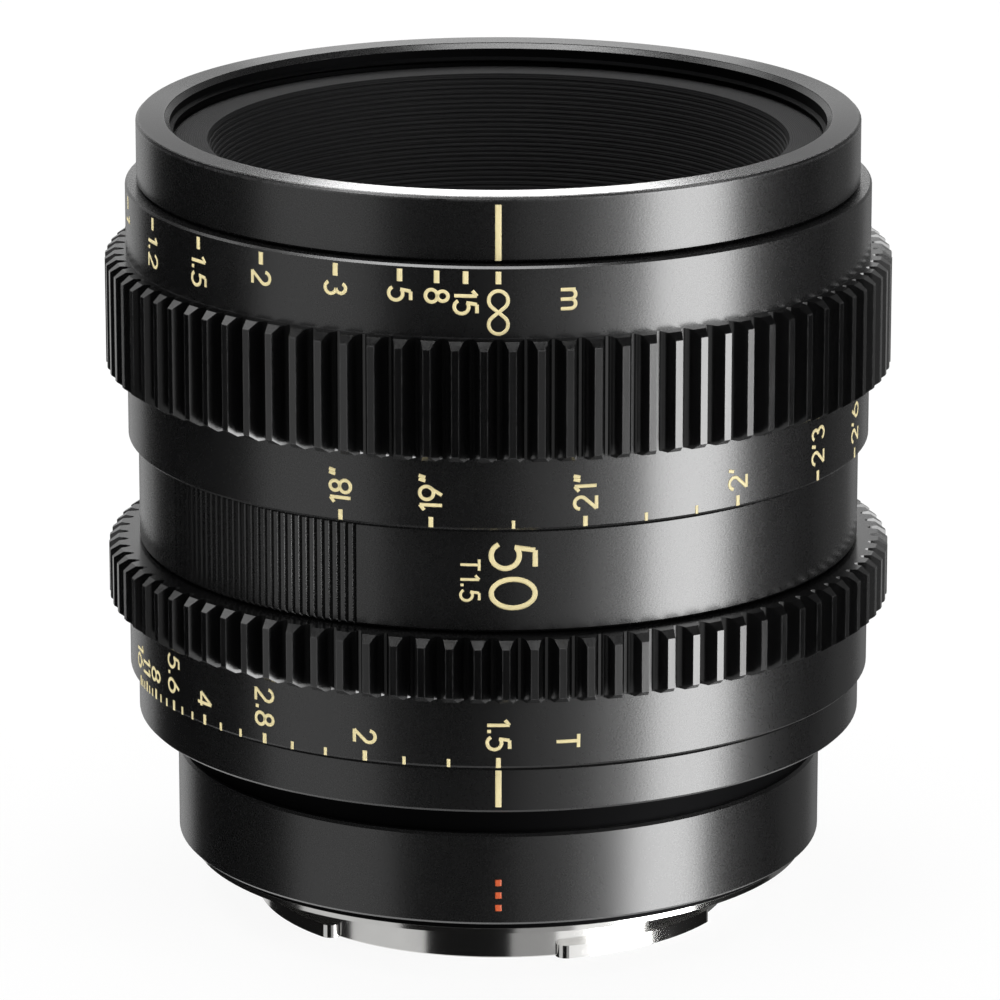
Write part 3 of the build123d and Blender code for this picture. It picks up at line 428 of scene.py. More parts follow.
def baffle_black(name, fine_pitch, roughness=0.62):
    """Matt black paint over fine concentric grooves, painted a little lighter along them as a highlight."""
    look = finishes()
    finish = Finish(name)
    point = finish.place()
    x, y, z = finish.axes(point)
    grooves = ((diagonal(x, y) * 1.1 + z) * (2 * pi * mm / fine_pitch)).wave()
    dust = finish.noise(point, 0.22, detail=3.0, roughness=0.7)
    cloud = finish.noise(point, 4.0, detail=3.0)
    pale = scaled(look.baffle, 2.4)
    return finish.done(
        # Lighter along each groove as a painted highlight; the dust and the cloud are the paint's own.
        Base_Color=finish.mixed(grooves * 0.35 + dust * 0.3 + (cloud - 0.5) * 0.3, look.baffle, pale),
        Roughness=roughness + (dust - 0.5) * 0.14 - grooves * 0.06,
        Specular_IOR_Level=0.14,
        Normal=finish.bumped(grooves * 0.7 + dust * 0.3, 0.02 * mm),
    )


def turned_metal(name, colour, roughness, painted_shade_band=None):
    """Bright turned metal with lathe lines, hairline scratches, a little tarnish and a black band painted in
    as shade.
    """
    look = finishes()
    finish = Finish(name)
    point = finish.place()
    x, y, z = finish.axes(point)
    radius = diagonal(x, y)
    lines = ((radius + z * 0.9) * (2 * pi * mm / look.turning)).wave()
    hairs = finish.noise(finish.stretched(point, 0.10, 1.6, 1.0), 0.5, detail=5.0, roughness=0.75)
    cloud = finish.noise(point, 5.0, detail=4.0, roughness=0.6)
    bright = finish.mixed((cloud - 0.35) * 0.9, colour, scaled(colour, 0.76))
    # Painted shade: the wall above a height and near the rim is black, where the barrel's edge shades it.
    black = z.above(painted_shade_band[0] / mm, 0.03) * radius.above(painted_shade_band[1] / mm, 0.03) if painted_shade_band else 0.0
    return finish.done(
        Base_Color=finish.mixed(black, bright, look.neck),
        Metallic=1.0,
        Roughness=roughness + (cloud - 0.5) * 0.05 + hairs.above(0.66, 0.05) * 0.105 + black * 0.4,
        Normal=finish.bumped(lines * 0.6 + hairs * 0.4, 0.0007 * mm),
    )


def coated_steel(name, colour):
    """The iris blades' dark dry coating, brushed along one way."""
    finish = Finish(name)
    point = finish.place()
    brush = finish.noise(finish.stretched(point, 0.12, 1.0, 1.0), 0.18, detail=3.0)
    cloud = finish.noise(point, 3.5, detail=3.0)
    pale = scaled(colour, 1.7)
    return finish.done(
        Base_Color=finish.mixed(brush * 0.6 + (cloud - 0.5) * 0.5, colour, pale),
        Metallic=0.75,
        Roughness=0.42 + (brush - 0.5) * 0.2,
        Normal=finish.bumped(brush, 0.0015 * mm),
    )


def moulded(name, colour):
    """A self-lubricating polymer with a faint mottled skin."""
    finish = Finish(name)
    point = finish.place()
    mottle = finish.noise(point, 0.6, detail=4.0, roughness=0.6)
    pale = scaled(colour, 1.6)
    return finish.done(
        Base_Color=finish.mixed(mottle, colour, pale),
        Roughness=0.5 + (mottle - 0.5) * 0.2,
        Normal=finish.bumped(mottle, 0.004 * mm),
    )


def coated_glass(name, tint):
    """Optical glass under a thin coloured coating, with a trace of dust."""
    finish = Finish(name)
    point = finish.place()
    dust = finish.noise(point, 0.35, detail=5.0, roughness=0.8).above(0.70, 0.06)
    film = finish.noise(point, 9.0, detail=1.0)
    bright = [min(1.0, channel * 1.15) for channel in tint]
    return finish.done(
        Base_Color=finish.mixed(dust * 0.05, (0.985, 0.99, 0.985), (0.8, 0.8, 0.8)),
        Roughness=0.012 + dust * 0.10 + (film - 0.5) * 0.008,
        IOR=1.62,
        Transmission_Weight=1.0,
        Specular_Tint=(*bright, 1),
        Normal=finish.bumped(film, 0.0004 * mm),
    )


def filled_paint(name, colour):
    """Enamel wiped into a cut mark: slightly uneven, a little darker in places."""
    finish = Finish(name)
    point = finish.place()
    pits = finish.noise(point, 0.12, detail=3.0, roughness=0.6)
    cloud = finish.noise(point, 1.4, detail=2.0)
    dark = scaled(colour, 0.78)
    return finish.done(
        Base_Color=finish.mixed((pits * 0.5 + cloud * 0.5 - 0.3) * 1.1, colour, dark),
        Roughness=0.5 + (pits - 0.5) * 0.2,
        Specular_IOR_Level=0.4,
        Normal=finish.bumped(pits, 0.006 * mm),
    )


def wear(material, *names):
    """Gives CAD nodes their finish."""
    for name in names:
        for slot in nodes[name].material_slots:
            slot.material = material


def add_object(name, data):
    """A new object in the scene."""
    made = bpy.data.objects.new(name, data)
    bpy.context.scene.collection.objects.link(made)
    return made


def placed(name, bm):
    """A bmesh as an object in the scene."""
    mesh = bpy.data.meshes.new(name)
    bm.to_mesh(mesh)
    bm.free()
    return add_object(name, mesh)


def add_piece(name, bm, material, body):
    """Puts a bmesh into the scene as a piece that rides on a body."""
    piece = placed(name, bm)
    piece.data.materials.append(material)
    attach(piece, body)
    return piece


def spin(bm, run, angle, steps, rise=0.0, joined=False):
    """Spins a run of corners and edges about the optical axis."""
    bmesh.ops.spin(
        bm, geom=run, cent=(0, 0, 0), axis=(0, 0, 1), angle=angle, steps=steps, dvec=(0, 0, rise),
        use_merge=joined)


def smooth_all(bm, angle=40.0):
    """Smooth faces with crisp corners."""
    for face in bm.faces:
        face.smooth = True
    for edge in bm.edges:
        edge.smooth = len(edge.link_faces) == 2 and edge.calc_face_angle(pi) < radians(angle)


# Each glyph is its width and its strokes, in shares of the numeral's height. A stroke is a run of
# points, and a bend in it is a centre, two radii and the angles where it starts and ends.
glyph_shares = {
    "0": (0.68, [[(0.34, 0.5, 0.34, 0.5, 0, 360)]]),
    "1": (0.24, [[(0.0, 0.80), (0.24, 1.0)], [(0.24, 1.0), (0.24, 0.0)]]),
    "2": (0.58, [[(0.29, 0.715, 0.275, 0.285, 172, -40), (0.02, 0.0)], [(0.0, 0.0), (0.60, 0.0)]]),
    "3": (0.54, [[(0.25, 0.765, 0.225, 0.235, 158, -90)], [(0.25, 0.265, 0.275, 0.265, 90, -158)]]),
    "4": (0.66, [[(0.50, 0.0), (0.50, 1.0)], [(0.50, 1.0), (0.0, 0.25)], [(0.0, 0.25), (0.66, 0.25)]]),
    "5": (0.56, [[(0.52, 1.0), (0.13, 1.0)], [(0.13, 1.0), (0.055, 0.53)],
                 [(0.25, 0.32, 0.305, 0.32, 128, -152)]]),
    "6": (0.60, [[(0.30, 0.31, 0.30, 0.31, 0, 360)], [(0.03, 0.42), (0.38, 1.0)]]),
    "8": (0.56, [[(0.28, 0.765, 0.225, 0.235, 0, 360)], [(0.28, 0.265, 0.28, 0.265, 0, 360)]]),
    "9": (0.60, [[(0.30, 0.69, 0.30, 0.31, 0, 360)], [(0.57, 0.58), (0.22, 0.0)]]),
    ".": (0.08, [[(0.04, 0.0), (0.04, 0.17)]]),
    "T": (0.62, [[(0.0, 1.0), (0.62, 1.0)], [(0.31, 1.0), (0.31, 0.0)]]),
    "m": (0.86, [[(0.0, 0.0), (0.0, 0.66)], [(0.0, 0.44), (0.215, 0.44, 0.215, 0.22, 180, 0), (0.43, 0.0)],
                 [(0.43, 0.44), (0.645, 0.44, 0.215, 0.22, 180, 0), (0.86, 0.0)]]),
    "'": (0.08, [[(0.08, 1.04), (0.0, 0.74)]]),
    '"': (0.24, [[(0.08, 1.04), (0.0, 0.74)], [(0.24, 1.04), (0.16, 0.74)]]),
}
bend_step = radians(12)
gap_share = 0.25


def bend(centre_x, centre_y, radius_x, radius_y, start, end):
    """The points of a bend in a stroke."""
    start, end = radians(start), radians(end)
    count = max(1, round(abs(end - start) / bend_step))
    angles = [start + (end - start) * index / count for index in range(count + 1)]
    return [(centre_x + radius_x * cos(angle), centre_y + radius_y * sin(angle)) for angle in angles]


loop_share = 0.5
loop_middle_share = 0.648
infinity_share = 2 * (loop_share + loop_middle_share)


def infinity():
    """The endless loop for far distance: two round loops and the strokes that cross between them."""
    turn = 180 - degrees(acos(loop_share / loop_middle_share))
    middle = infinity_share / 2
    far = bend(middle + loop_middle_share, 0.5, loop_share, loop_share, -turn, turn)
    near = bend(middle - loop_middle_share, 0.5, loop_share, loop_share, turn - 180, -180 - turn)
    return [*far, *near, far[0]]


glyph_shares["oo"] = (infinity_share, [infinity()])


class Print:
    """Strokes on the flat, which are then wrapped round a cylinder as filled marks."""

    def __init__(self, name, radius, stroke):
        self.name = name
        self.radius = radius
        self.sheets = []
        self.new_sheet(stroke)

    def new_sheet(self, stroke):
        """Starts a sheet whose strokes have the given width."""
        curve = bpy.data.curves.new(self.name, "CURVE")
        curve.dimensions = "3D"
        curve.bevel_depth = stroke / 2
        curve.bevel_resolution = 1
        curve.use_fill_caps = True
        self.sheets.append(curve)

    def line(self, points, closed=False):
        """One stroke through flat points, the first number along the circumference, the second up."""
        spline = self.sheets[-1].splines.new("POLY")
        spline.points.add(len(points) - 1)
        for target, (across, up) in zip(spline.points, points):
            target.co = (across, up, 0, 1)
        spline.use_cyclic_u = closed

    def tick(self, angle, low_end, high_end):
        """An upright line at an angle from the index."""
        across = radians(angle) * self.radius
        self.line([(across, low_end), (across, high_end)])

    def word(self, text, angle, start, height, reads_down=True, gap=gap_share):
        """A word on its side, centred on an angle, that starts at a height and reads on from it."""
        way = -1 if reads_down else 1
        middle = radians(angle) * self.radius
        reach = 0.0
        for sign in text:
            width, strokes = glyph_shares[sign]
            for stroke in strokes:
                points = []
                for item in stroke:
                    points += bend(*item) if len(item) == 6 else [item]
                closed = len(points) > 6 and (Vector(points[0]) - Vector(points[-1])).length < 0.01
                if closed:
                    points.pop()
                else:
                    points = self.divided(points)
                self.line([
                    (middle - way * (up - 0.5) * height, start + way * (reach + across) * height)
                    for across, up in points
                ], closed)
            reach += width + gap

    def divided(self, points):
        """The same run with a point at least every tenth of the height."""
        result = [points[0]]
        for before, after in zip(points, points[1:]):
            count = max(1, round((Vector(after) - Vector(before)).length / 0.1))
            for index in range(count):
                share = (index + 1) / count
                result.append(tuple(a + (b - a) * share for a, b in zip(before, after)))
        return result

    def piece(self, material, body):
        """The marks as one mesh on the cylinder."""
        made = bmesh.new()
        for curve in self.sheets:
            holder = add_object(self.name + "_strokes", curve)
            depsgraph = bpy.context.evaluated_depsgraph_get()
            mesh = bpy.data.meshes.new_from_object(holder.evaluated_get(depsgraph))
            # A stroke is an eight-sided tube, so its flats lie a little inside its radius.
            lift = marks().fill / (curve.bevel_depth * cos(pi / 8))
            mesh.transform(Matrix.Diagonal((1, 1, lift, 1)))
            made.from_mesh(mesh)
            bpy.data.objects.remove(holder)
            bpy.data.meshes.remove(mesh)
            bpy.data.curves.remove(curve)
        for vert in made.verts:
            angle = vert.co.x / self.radius
            out = self.radius + vert.co.z
            vert.co = Vector((out * sin(angle), -out * cos(angle), vert.co.y))
        bmesh.ops.recalc_face_normals(made, faces=made.faces)
        add_piece(self.name, made, material, body)


class LENS_OT_rings(bpy.types.Operator):
    """Finish the plain rings and barrels in satin black anodising"""

    bl_idname = "lens.rings"
    bl_label = "Rings and barrels"

    def execute(self, context):
        mount_wall_top = 10 * mm
        # The mount barrel is painted dead black as shade from its wall's top up to the rear barrel.
        neck = (mount_wall_top, low("rear_barrel"))
        for node in ("mid_barrel", "rear_barrel", "mount_barrel", "focus_scale_ring", "iris_ring"):
            corners = [(rim(node), low(node)), (rim(node), top(node))]
            wear(anodise(node + "_anodised", corners, neck=neck if node == "mount_barrel" else None), node)
        corners = [(rim("focus_ring"), low("focus_ring")), (rim("focus_ring"), low("focus_gear"))]
        wear(anodise("focus_ring_anodised", corners), "focus_ring")
        wear(anodise_front(), "front_ring")
        return {"FINISHED"}


class LENS_OT_gears(bpy.types.Operator):
    """Finish the two gears in a glossier black with bright tooth edges"""

    bl_idname = "lens.gears"
    bl_label = "Gears"

    def execute(self, context):
        for node, first_tooth in (("focus_gear", 2.0), ("iris_gear", 1.1)):
            wear(tooth_black(node, first_tooth), node)
        return {"FINISHED"}


class LENS_OT_mount(bpy.types.Operator):
    """Finish the bayonet, its shim, its screws and the rear mask"""

    bl_idname = "lens.mount"
    bl_label = "Mount"

    def execute(self, context):
        look = finishes()
        # The bayonet's wall above this height and within this depth of its rim is painted black as shade.
        painted_shade_low, groove_depth = 0.46 * mm, 0.3 * mm
        painted_shade_band = (painted_shade_low, rim("bayonet_mount") - groove_depth)
        wear(turned_metal("bayonet_chrome", look.chrome, 0.12, painted_shade_band), "bayonet_mount")
        wear(turned_metal("shim_brass", look.brass, 0.30), "mount_shim")
        wear(turned_metal("screw_steel", look.steel, 0.24), "mount_screws")
        wear(baffle_black("rear_mask_black", 0.40 * mm), "rear_baffle")
        return {"FINISHED"}


class LENS_OT_inside(bpy.types.Operator):
    """Finish the baffle, the cells, the carriage and the rest of the works"""

    bl_idname = "lens.inside"
    bl_label = "Inside"

    def execute(self, context):
        look = finishes()
        self.turn_baffle()
        wear(
            baffle_black("cell_black", 0.35 * mm, 0.5), "front_cell", "rear_cell", "front_retaining_ring",
            "rear_retaining_ring", "carriage_lock_ring", "front_spacer", "middle_spacer", "rear_upper_spacer",
            "rear_lower_spacer", "iris_housing", "iris_cover")
        corners = [(rim("lens_carriage"), top("lens_carriage"))]
        wear(anodise("inner_anodised", corners, 0.5, 1.6), "main_barrel", "cam_sleeve", "lens_carriage")
        wear(turned_metal("roller_brass", look.brass, 0.28), "cam_rollers", "iris_cam_ring")
        wear(
            turned_metal("pin_steel", look.steel, 0.30), "focus_stop_pin", "iris_stop_pin", "drive_screws",
            "roller_screws", "fork_screws", "blade_posts")
        wear(
            moulded("glide_polymer_dark", look.polymer),
            "focus_glide_front", "focus_glide_rear", "iris_glide_ring")
        blades = [node for node in nodes if node.startswith("iris_blade")]
        wear(coated_steel("blade_coating", look.blade), "iris_fork", *blades)
        return {"FINISHED"}

    def turn_baffle(self):
        """The front baffle with its light-trap grooves. The last pitch, at the mouth, stays plain."""
        flange, ledge, foot = rim("ribbed_baffle"), top("ribbed_baffle"), low("ribbed_baffle")
        mouth_radius, foot_radius, wall, lip = [size * mm for size in (27.1, 22.5, 0.75, 1)]
        pitches, groove_depth = 34, 0.12 * mm
        profile = [
            (flange, ledge), (flange, ledge - lip), (mouth_radius + wall, ledge - lip),
            (foot_radius + wall, foot), (foot_radius, foot),
        ]
        for index in range(pitches):
            depth = groove_depth if index < pitches - 1 else 0.0
            for share, cut in ((0.35, 0.0), (0.5, depth), (0.85, depth), (1.0, 0.0)):
                along = (index + share) / pitches
                radius = foot_radius + (mouth_radius - foot_radius) * along + cut
                profile.append((radius, foot + (ledge - foot) * along))
        bm = bmesh.new()
        verts = [bm.verts.new((radius, 0, height)) for radius, height in profile]
        edges = [bm.edges.new(pair) for pair in zip(verts, verts[1:] + verts[:1])]
        spin(bm, verts + edges, 2 * pi, 192, joined=True)
        bmesh.ops.recalc_face_normals(bm, faces=bm.faces)
        smooth_all(bm, 20.0)
        black = baffle_black("front_baffle_black", 0.23 * mm, 0.82)
        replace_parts(add_piece("grooved_baffle", bm, black, "barrel"), "ribbed_baffle")


class LENS_OT_glass(bpy.types.Operator):
    """Finish the lens elements as coated glass"""

    bl_idname = "lens.glass"
    bl_label = "Glass"

    def execute(self, context):
        look = finishes()
        warm = coated_glass("glass_warm_coating", look.coating_warm)
        cool = coated_glass("glass_cool_coating", look.coating_cool)
        for index, place in enumerate(("front", "second", "third", "fourth", "fifth", "sixth", "seventh")):
            wear(cool if index % 2 else warm, place + "_element")
        return {"FINISHED"}


class LENS_OT_thread(bpy.types.Operator):
    """Add the filter thread inside the front ring"""

    bl_idname = "lens.thread"
    bl_label = "Filter thread"

    def execute(self, context):
        thread = context.scene.lens_thread
        wall, overlap, chamfer = 3.15 * mm, 0.05 * mm, 0.5 * mm
        bore = rim("front_ring") - wall
        crest, root = bore - thread.depth, bore + overlap
        start = top("ribbed_baffle") + thread.pitch * 0.3
        turns = int((top("front_ring") - chamfer - start) / thread.pitch)
        bm = bmesh.new()
        corners = [
            bm.verts.new((0, -radius, start + thread.pitch / 2 * share))
            for radius, share in ((root, -0.9), (root, 0.9), (crest, 0.12), (crest, -0.12))
        ]
        loop = [bm.edges.new(pair) for pair in zip(corners, corners[1:] + corners[:1])]
        steps = thread.steps * turns
        spin(bm, corners + loop, 2 * pi * turns, steps, thread.pitch * turns / steps)
        bmesh.ops.holes_fill(bm, edges=[edge for edge in bm.edges if edge.is_boundary], sides=4)
        bmesh.ops.recalc_face_normals(bm, faces=bm.faces)
        smooth_all(bm)
        black = nodes["front_ring"].material_slots[0].material
        add_piece("filter_thread", bm, black, "barrel")
        return {"FINISHED"}


# The laws of the two scales: the lens's focal length, the cam's lead, the widest stop, and by how much
# one over the stop falls in each degree of the iris ring.
focal_length = 50 * mm
cam_lead = 12.6 * mm
widest_stop = 1.5
stop_fall = 0.00822


def focus_angle(distance):
    """How far the focusing ring turns from infinity for a distance in metres."""
    spread = distance - 2 * focal_length
    extension = (spread - sqrt(spread * spread - 4 * focal_length * focal_length)) / 2
    return degrees(2 * pi * extension / cam_lead)


def iris_angle(stop):
    """How far the iris ring turns from its widest stop."""
    return (1 / widest_stop - 1 / stop) / stop_fall


# The gap between a distance's tick and its numerals.
word_gap = 0.62 * mm


class LENS_OT_focus_scale(bpy.types.Operator):
    """Mark the distances on the focusing ring, metres in front and feet behind"""

    bl_idname = "lens.focus_scale"
    bl_label = "Focus scale"

    def execute(self, context):
        paint = filled_paint("scale_paint", marks().paint)
        self.mark_metres(marks()).piece(paint, "focus")
        self.mark_feet(marks()).piece(paint, "focus")
        return {"FINISHED"}

    def mark_metres(self, look):
        """Metres from infinity down, which read towards the mount."""
        edge_gap, unit_turn, infinity_size = 0.42 * mm, 10.8, 0.85
        tick_top = top("focus_scale_ring") - edge_gap
        tick_low = tick_top - look.tick
        metres = Print("metre_scale", rim("focus_scale_ring"), look.tick_width)
        turns = {distance: -focus_angle(distance) for distance in (15, 8, 5, 3, 2, 1.5, 1.2, 1, 0.8)}
        for turn in (0, *turns.values()):
            metres.tick(turn, tick_low, tick_top)
        metres.new_sheet(look.stroke)
        metres.word(["oo"], 0, tick_low - word_gap, look.numeral * infinity_size)
        for distance, turn in turns.items():
            metres.word(str(distance), turn, tick_low - word_gap, look.numeral)
        metres.word("m", unit_turn, tick_low - word_gap, look.numeral)
        return metres

    def mark_feet(self, look):
        """Feet and inches round the back, which read away from the mount."""
        edge_gap = 0.2 * mm
        tick_low = low("focus_ring") + edge_gap
        feet = Print("foot_scale", rim("focus_ring"), look.short_tick_width)
        words = {
            18: '18"', 19: '19"', 21: '21"', 24: "2'", 27: "2'3", 30: "2'6", 36: "3'", 42: "3'6", 48: "4'",
            60: "5'",
        }
        unmarked = (20, 22, 23)
        turns = {inches: 180 - focus_angle(inches * inch) for inches in (*words, *unmarked)}
        for inches in words:
            feet.tick(turns[inches], tick_low, tick_low + look.short_tick)
        feet.new_sheet(look.stroke)
        for inches, text in words.items():
            word_low = tick_low + look.short_tick + word_gap
            feet.word(text, turns[inches], word_low, look.numeral, reads_down=False)
        feet.new_sheet(look.part_tick_width)
        for inches in unmarked:
            feet.tick(turns[inches], tick_low, tick_low + look.part_tick)
        return feet


class LENS_OT_iris_scale(bpy.types.Operator):
    """Mark the stops on the iris ring"""

    bl_idname = "lens.iris_scale"
    bl_label = "Iris scale"

    def execute(self, context):
        look = marks()
        edge_gap, numeral_gap, unit_turn = 0.1 * mm, 0.78 * mm, 10.3
        tick_low = low("iris_ring") + edge_gap
        word_low = tick_low + look.short_tick + numeral_gap
        marked = (widest_stop, 2, 2.8, 4, 5.6, 8, 11, 16)
        scale = Print("stop_scale", rim("iris_ring"), look.short_tick_width)
        for stop in marked:
            scale.tick(-iris_angle(stop), tick_low, tick_low + look.short_tick)
        scale.new_sheet(look.stroke)
        for turn, text in [*((-iris_angle(stop), str(stop)) for stop in marked), (unit_turn, "T")]:
            length = sum(glyph_shares[sign][0] + gap_share for sign in text) - gap_share
            scale.word(text, turn, word_low + length * look.numeral, look.numeral)
        scale.new_sheet(look.part_tick_width)
        for before, after in zip(marked, marked[1:]):
            for third in (1, 2):
                stop = before * (after / before) ** (third / 3)
                scale.tick(-iris_angle(stop), tick_low, tick_low + look.part_tick)
        scale.piece(filled_paint("stop_paint", look.paint), "iris_control")
        return {"FINISHED"}


class LENS_OT_fixed_marks(bpy.types.Operator):
    """Mark the index lines, the focal length and the mount's orange squares"""

    bl_idname = "lens.fixed_marks"
    bl_label = "Index lines and fixed marks"

    def execute(self, context):
        look = marks()
        paint = filled_paint("index_paint", look.paint)
        for name, node, low_end, high_end in (
            ("front_index", "front_ring", low("front_ring") + 2.1 * mm, top("front_ring") - 0.7 * mm),
            ("rear_index", "rear_barrel", 13.85 * mm, 17.35 * mm),
        ):
            line = Print(name, rim(node), look.index_width)
            line.tick(0, low_end, high_end)
            line.piece(paint, "barrel")
        focal = Print("focal_length", rim("mid_barrel"), look.large_stroke)
        focal_turn, focal_start, stop_turn, stop_start = 2.25, 38.5 * mm, -4.35, 37.15 * mm
        focal.word("50", focal_turn, focal_start, look.large_numeral)
        focal.new_sheet(look.small_stroke)
        focal.word("T1.5", stop_turn, stop_start, look.small_numeral, gap=0.27)
        focal.piece(paint, "barrel")
        squares = Print("mount_squares", rim("mount_barrel"), look.square)
        top_square, square_step = 5.34 * mm, 1.21 * mm
        for index in range(3):
            middle = top_square - index * square_step
            squares.tick(0, middle - look.square / 2, middle + look.square / 2)
        squares.piece(filled_paint("signal_paint", look.signal), "barrel")
        return {"FINISHED"}


def stage_material(name, colour, shadow):
    """A matt surface that looks white to the camera and in reflections, but for its shadow."""
    finish = Finish(name)
    grain = finish.noise(finish.place(), 1.5, detail=2.0)
    matt = finish.add("BsdfDiffuse", sockets={"Color": finish.mixed(grain, colour, scaled(colour, 0.985))})
    glow = finish.add("Emission", sockets={"Color": (1, 1, 1, 1), "Strength": 1.0})
    mixed = finish.add("MixShader", sockets={0: finish.seen() * (1 - shadow), 1: matt, 2: glow})
    finish.add("OutputMaterial", sockets={"Surface": mixed})
    return finish.material


# The side lamps' angles from the index, the lamps' widths and heights, how far they stand off the lens,
# and how far the side lamps' lower edges stand above the table.
lamp_turns = {"front_left_lamp": -50, "front_right_lamp": 50, "back_left_lamp": -130, "back_right_lamp": 130}
side_lamp_size = (1.2, 0.9)
overhead_lamp_size = (1.6, 1.6)
lamp_distance = 1.2
lamp_clearance = 0.1

# Each card stands round the lens between two angles from the index and two heights, with its brightness.
card_turns = {
    "key_card": (46, 76, -0.7, 0.7, 10.0),
    "right_fill_card": (28, 46, -0.7, 0.7, 1.1),
    "front_fill_card": (6, 28, -0.7, 0.7, 0.36),
    "front_flag": (-36, 6, -0.7, 0.7, 0.008),
    "left_card": (-78, -36, -0.7, 0.7, 0.68),
    "left_flag": (-142, -78, -0.7, 0.7, 0.008),
    "right_flag": (76, 122, -0.7, 0.7, 0.008),
    "left_rim_card": (-166, -142, -0.7, 0.7, 0.7),
    "right_low_rim_card": (122, 150, -0.7, 0.7, 0.14),
    "right_rim_card": (150, 166, -0.7, 0.7, 0.38),
    "back_low_flag": (166, 194, -0.7, -0.14, 0.03),
    "back_card": (175, 185, -0.14, 0.7, 1.05),
    "back_left_card": (185, 194, -0.14, 0.7, 0.6),
    "back_right_card": (166, 175, -0.14, 0.7, 0.6),
}
# Each card overhead lies between two places across and two along, with its brightness.
card_places = {
    "top_left_card": (-0.9, -0.16, -0.65, -0.05, 8.0),
    "top_card": (-0.16, 0.25, -0.65, -0.05, 6.0),
    "left_high_card": (-1.2, -0.5, 0.3, 1.3, 1.8),
    "back_high_card": (-0.22, 0.22, 0.445, 1.376, 15.0),
    "ceiling_flag": (-1.4, 1.4, -1.4, 1.4, 0.02),
}
# The flag that fills the ceiling lies a little above the cards, and a bent card turns this much in a step.
flag_rise = 0.05
degrees_in_step = 4


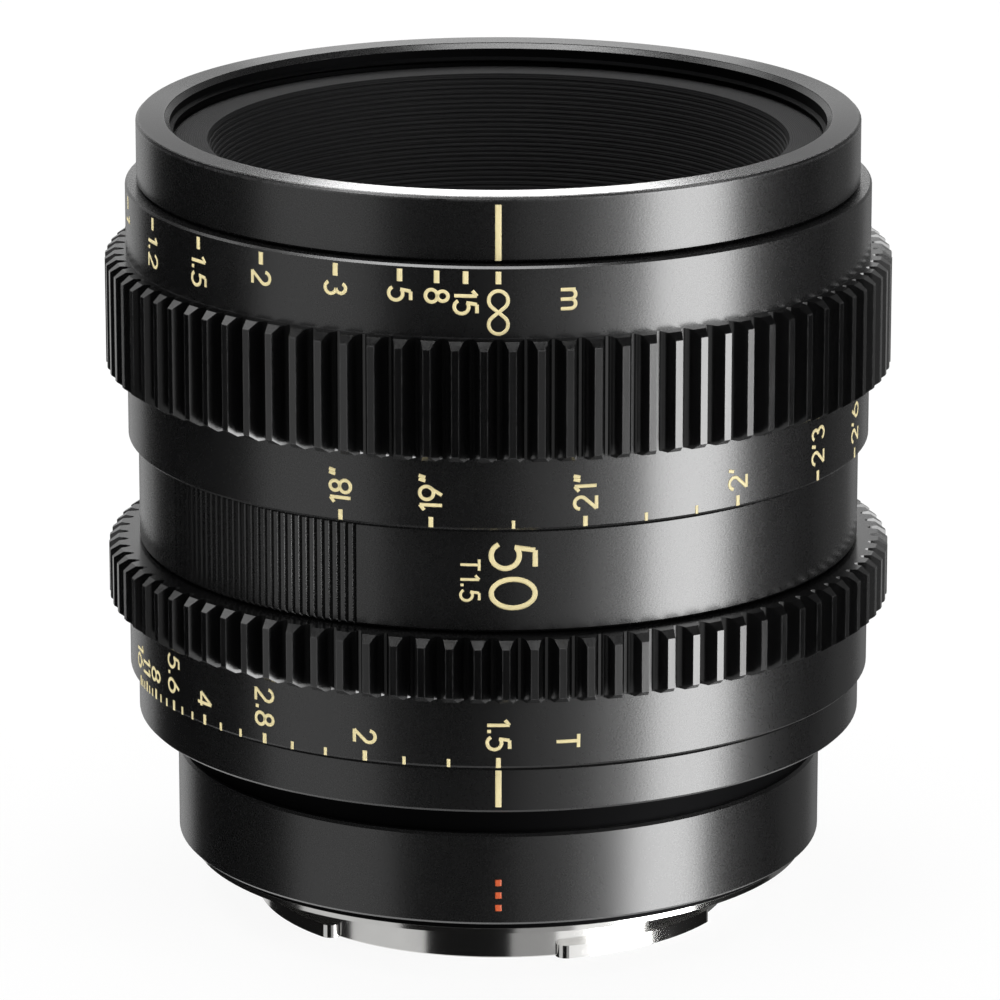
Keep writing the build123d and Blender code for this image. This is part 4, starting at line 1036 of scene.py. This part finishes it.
class LENS_OT_studio(bpy.types.Operator):
    """Set the table, the lamps, the reflection cards, the room's light and the camera"""

    bl_idname = "lens.studio"
    bl_label = "Studio"

    def execute(self, context):
        studio = context.scene.lens_studio
        self.lay_floor(studio)
        self.light_room(context)
        for name, turn in lamp_turns.items():
            self.lamp(name, turn, studio.side, *side_lamp_size)
        self.lamp("overhead_lamp", None, studio.overhead, *overhead_lamp_size)
        for name, (start, end, bottom, head, level) in card_turns.items():
            self.standing_card(name, studio.reach, (start, end), (bottom, head), level)
        for name, (left, right, near, far, level) in card_places.items():
            height = studio.ceiling + (flag_rise if name == "ceiling_flag" else 0)
            self.lying_card(name, (left, near, height), (right, far, height), level)
        self.place_camera(context, studio)
        return {"FINISHED"}

    def staged(self, name, bm):
        """A bmesh as an object in the scene, for the stage."""
        made = placed(name, bm)
        return made

    def lay_floor(self, studio):
        """The table. Polished surfaces see past it to the cards that stand round it."""
        bm = bmesh.new()
        bmesh.ops.create_circle(
            bm, cap_ends=True, segments=96, radius=4, matrix=Matrix.Translation((0, 0, low("bayonet_mount"))))
        floor = self.staged("floor", bm)
        floor.data.materials.append(stage_material("floor_white", studio.floor, studio.shadow))
        floor.visible_glossy = False
        floor.visible_shadow = False

    def light_room(self, context):
        """A white room to the camera, in reflections and through glass. The lamps light the matt surfaces."""
        room = Finish("studio_room", "worlds")
        light = room.add("Background", sockets={"Color": (1, 1, 1, 1), "Strength": room.seen()})
        room.add("OutputWorld", sockets={"Surface": light})
        context.scene.world = room.material

    def lamp(self, name, turn, level, width, height):
        """A large soft lamp, upright at the side or level overhead, that no polished surface shows."""
        lamp = bpy.data.lights.new(name, "AREA")
        lamp.shape = "RECTANGLE"
        lamp.size = width
        lamp.size_y = height
        lamp.energy = level * pi * width * height
        holder = add_object(name, lamp)
        holder.location = (0, 0, lamp_distance)
        if turn is not None:
            angle = radians(turn)
            holder.location = (
                lamp_distance * sin(angle), -lamp_distance * cos(angle), height / 2 + lamp_clearance)
            holder.rotation_euler = (pi / 2, 0, angle)
        holder.visible_camera = False
        holder.visible_glossy = False
        holder.visible_transmission = False

    def finish_card(self, card, level):
        """Lets only reflections see a card."""
        finish = Finish(card.name + "_glow")
        weave = finish.noise(finish.place(), 8.0)
        colour = finish.mixed(weave, (1, 1, 1), (0.97, 0.97, 0.97))
        glow = finish.add("Emission", sockets={"Color": colour, "Strength": level})
        finish.add("OutputMaterial", sockets={"Surface": glow})
        card.data.materials.append(finish.material)
        card.visible_camera = False
        card.visible_diffuse = False
        card.visible_shadow = False
        card.visible_transmission = False

    def standing_card(self, name, reach, turns, heights, level):
        """A bent card between two angles from the index and two heights."""
        start, end = turns
        across, along = reach * sin(radians(start)), -reach * cos(radians(start))
        bm = bmesh.new()
        corners = [bm.verts.new((across, along, height)) for height in heights]
        run = [*corners, bm.edges.new(corners)]
        spin(bm, run, radians(end - start), max(2, round((end - start) / degrees_in_step)))
        self.finish_card(self.staged(name, bm), level)

    def lying_card(self, name, near_left, far_right, level):
        """A flat card overhead between two corners."""
        bm = bmesh.new()
        middle = (Vector(near_left) + Vector(far_right)) / 2
        half = (Vector(far_right) - Vector(near_left)) / 2
        bmesh.ops.create_grid(
            bm, x_segments=1, y_segments=1, size=1,
            matrix=Matrix.Translation(middle) @ Matrix.Diagonal((half.x, half.y, 1, 1)))
        self.finish_card(self.staged(name, bm), level)

    def place_camera(self, context, studio):
        """The photograph's long lens and viewing angle."""
        data = bpy.data.cameras.new("camera")
        data.lens = studio.focal
        data.sensor_width = 36
        data.shift_x = studio.shift
        data.clip_start = 0.05
        data.clip_end = 20
        camera = add_object("camera", data)
        back = Vector((0, -cos(studio.elevation), sin(studio.elevation)))
        camera.location = Vector((0, 0, studio.aim)) + back * studio.distance
        camera.rotation_euler = (-back).to_track_quat("-Z", "Y").to_euler()
        context.scene.camera = camera
        context.scene.view_settings.view_transform = "Standard"


pieces_in_order = (
    LENS_OT_rings, LENS_OT_gears, LENS_OT_mount, LENS_OT_inside, LENS_OT_glass, LENS_OT_thread,
    LENS_OT_focus_scale, LENS_OT_iris_scale, LENS_OT_fixed_marks, LENS_OT_studio,
)
settings = {
    "lens_finishes": LensFinishes,
    "lens_marks": LensMarks,
    "lens_thread": LensThread,
    "lens_studio": LensStudio,
}


class LENS_PT_panel(bpy.types.Panel):
    """Lists the lens's pieces and settings"""

    bl_idname = "LENS_PT_panel"
    bl_label = "Cinema lens"
    bl_space_type = "VIEW_3D"
    bl_region_type = "UI"
    bl_category = "Cinema lens"

    def draw(self, context):
        for name in settings:
            group = getattr(context.scene, name)
            box = self.layout.box()
            for key in group.__annotations__:
                box.prop(group, key)
        for operator in pieces_in_order:
            self.layout.operator(operator.bl_idname)


def register():
    for group in (*settings.values(), *pieces_in_order, LENS_PT_panel):
        bpy.utils.register_class(group)
    for name, group in settings.items():
        setattr(bpy.types.Scene, name, PointerProperty(type=group))


def unregister():
    for name in settings:
        delattr(bpy.types.Scene, name)
    for group in (LENS_PT_panel, *reversed(pieces_in_order), *settings.values()):
        bpy.utils.unregister_class(group)


def main():
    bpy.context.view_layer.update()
    register()
    for operator in pieces_in_order:
        group, name = operator.bl_idname.split(".")
        getattr(getattr(bpy.ops, group), name)()


if __name__ == "__main__":
    main()
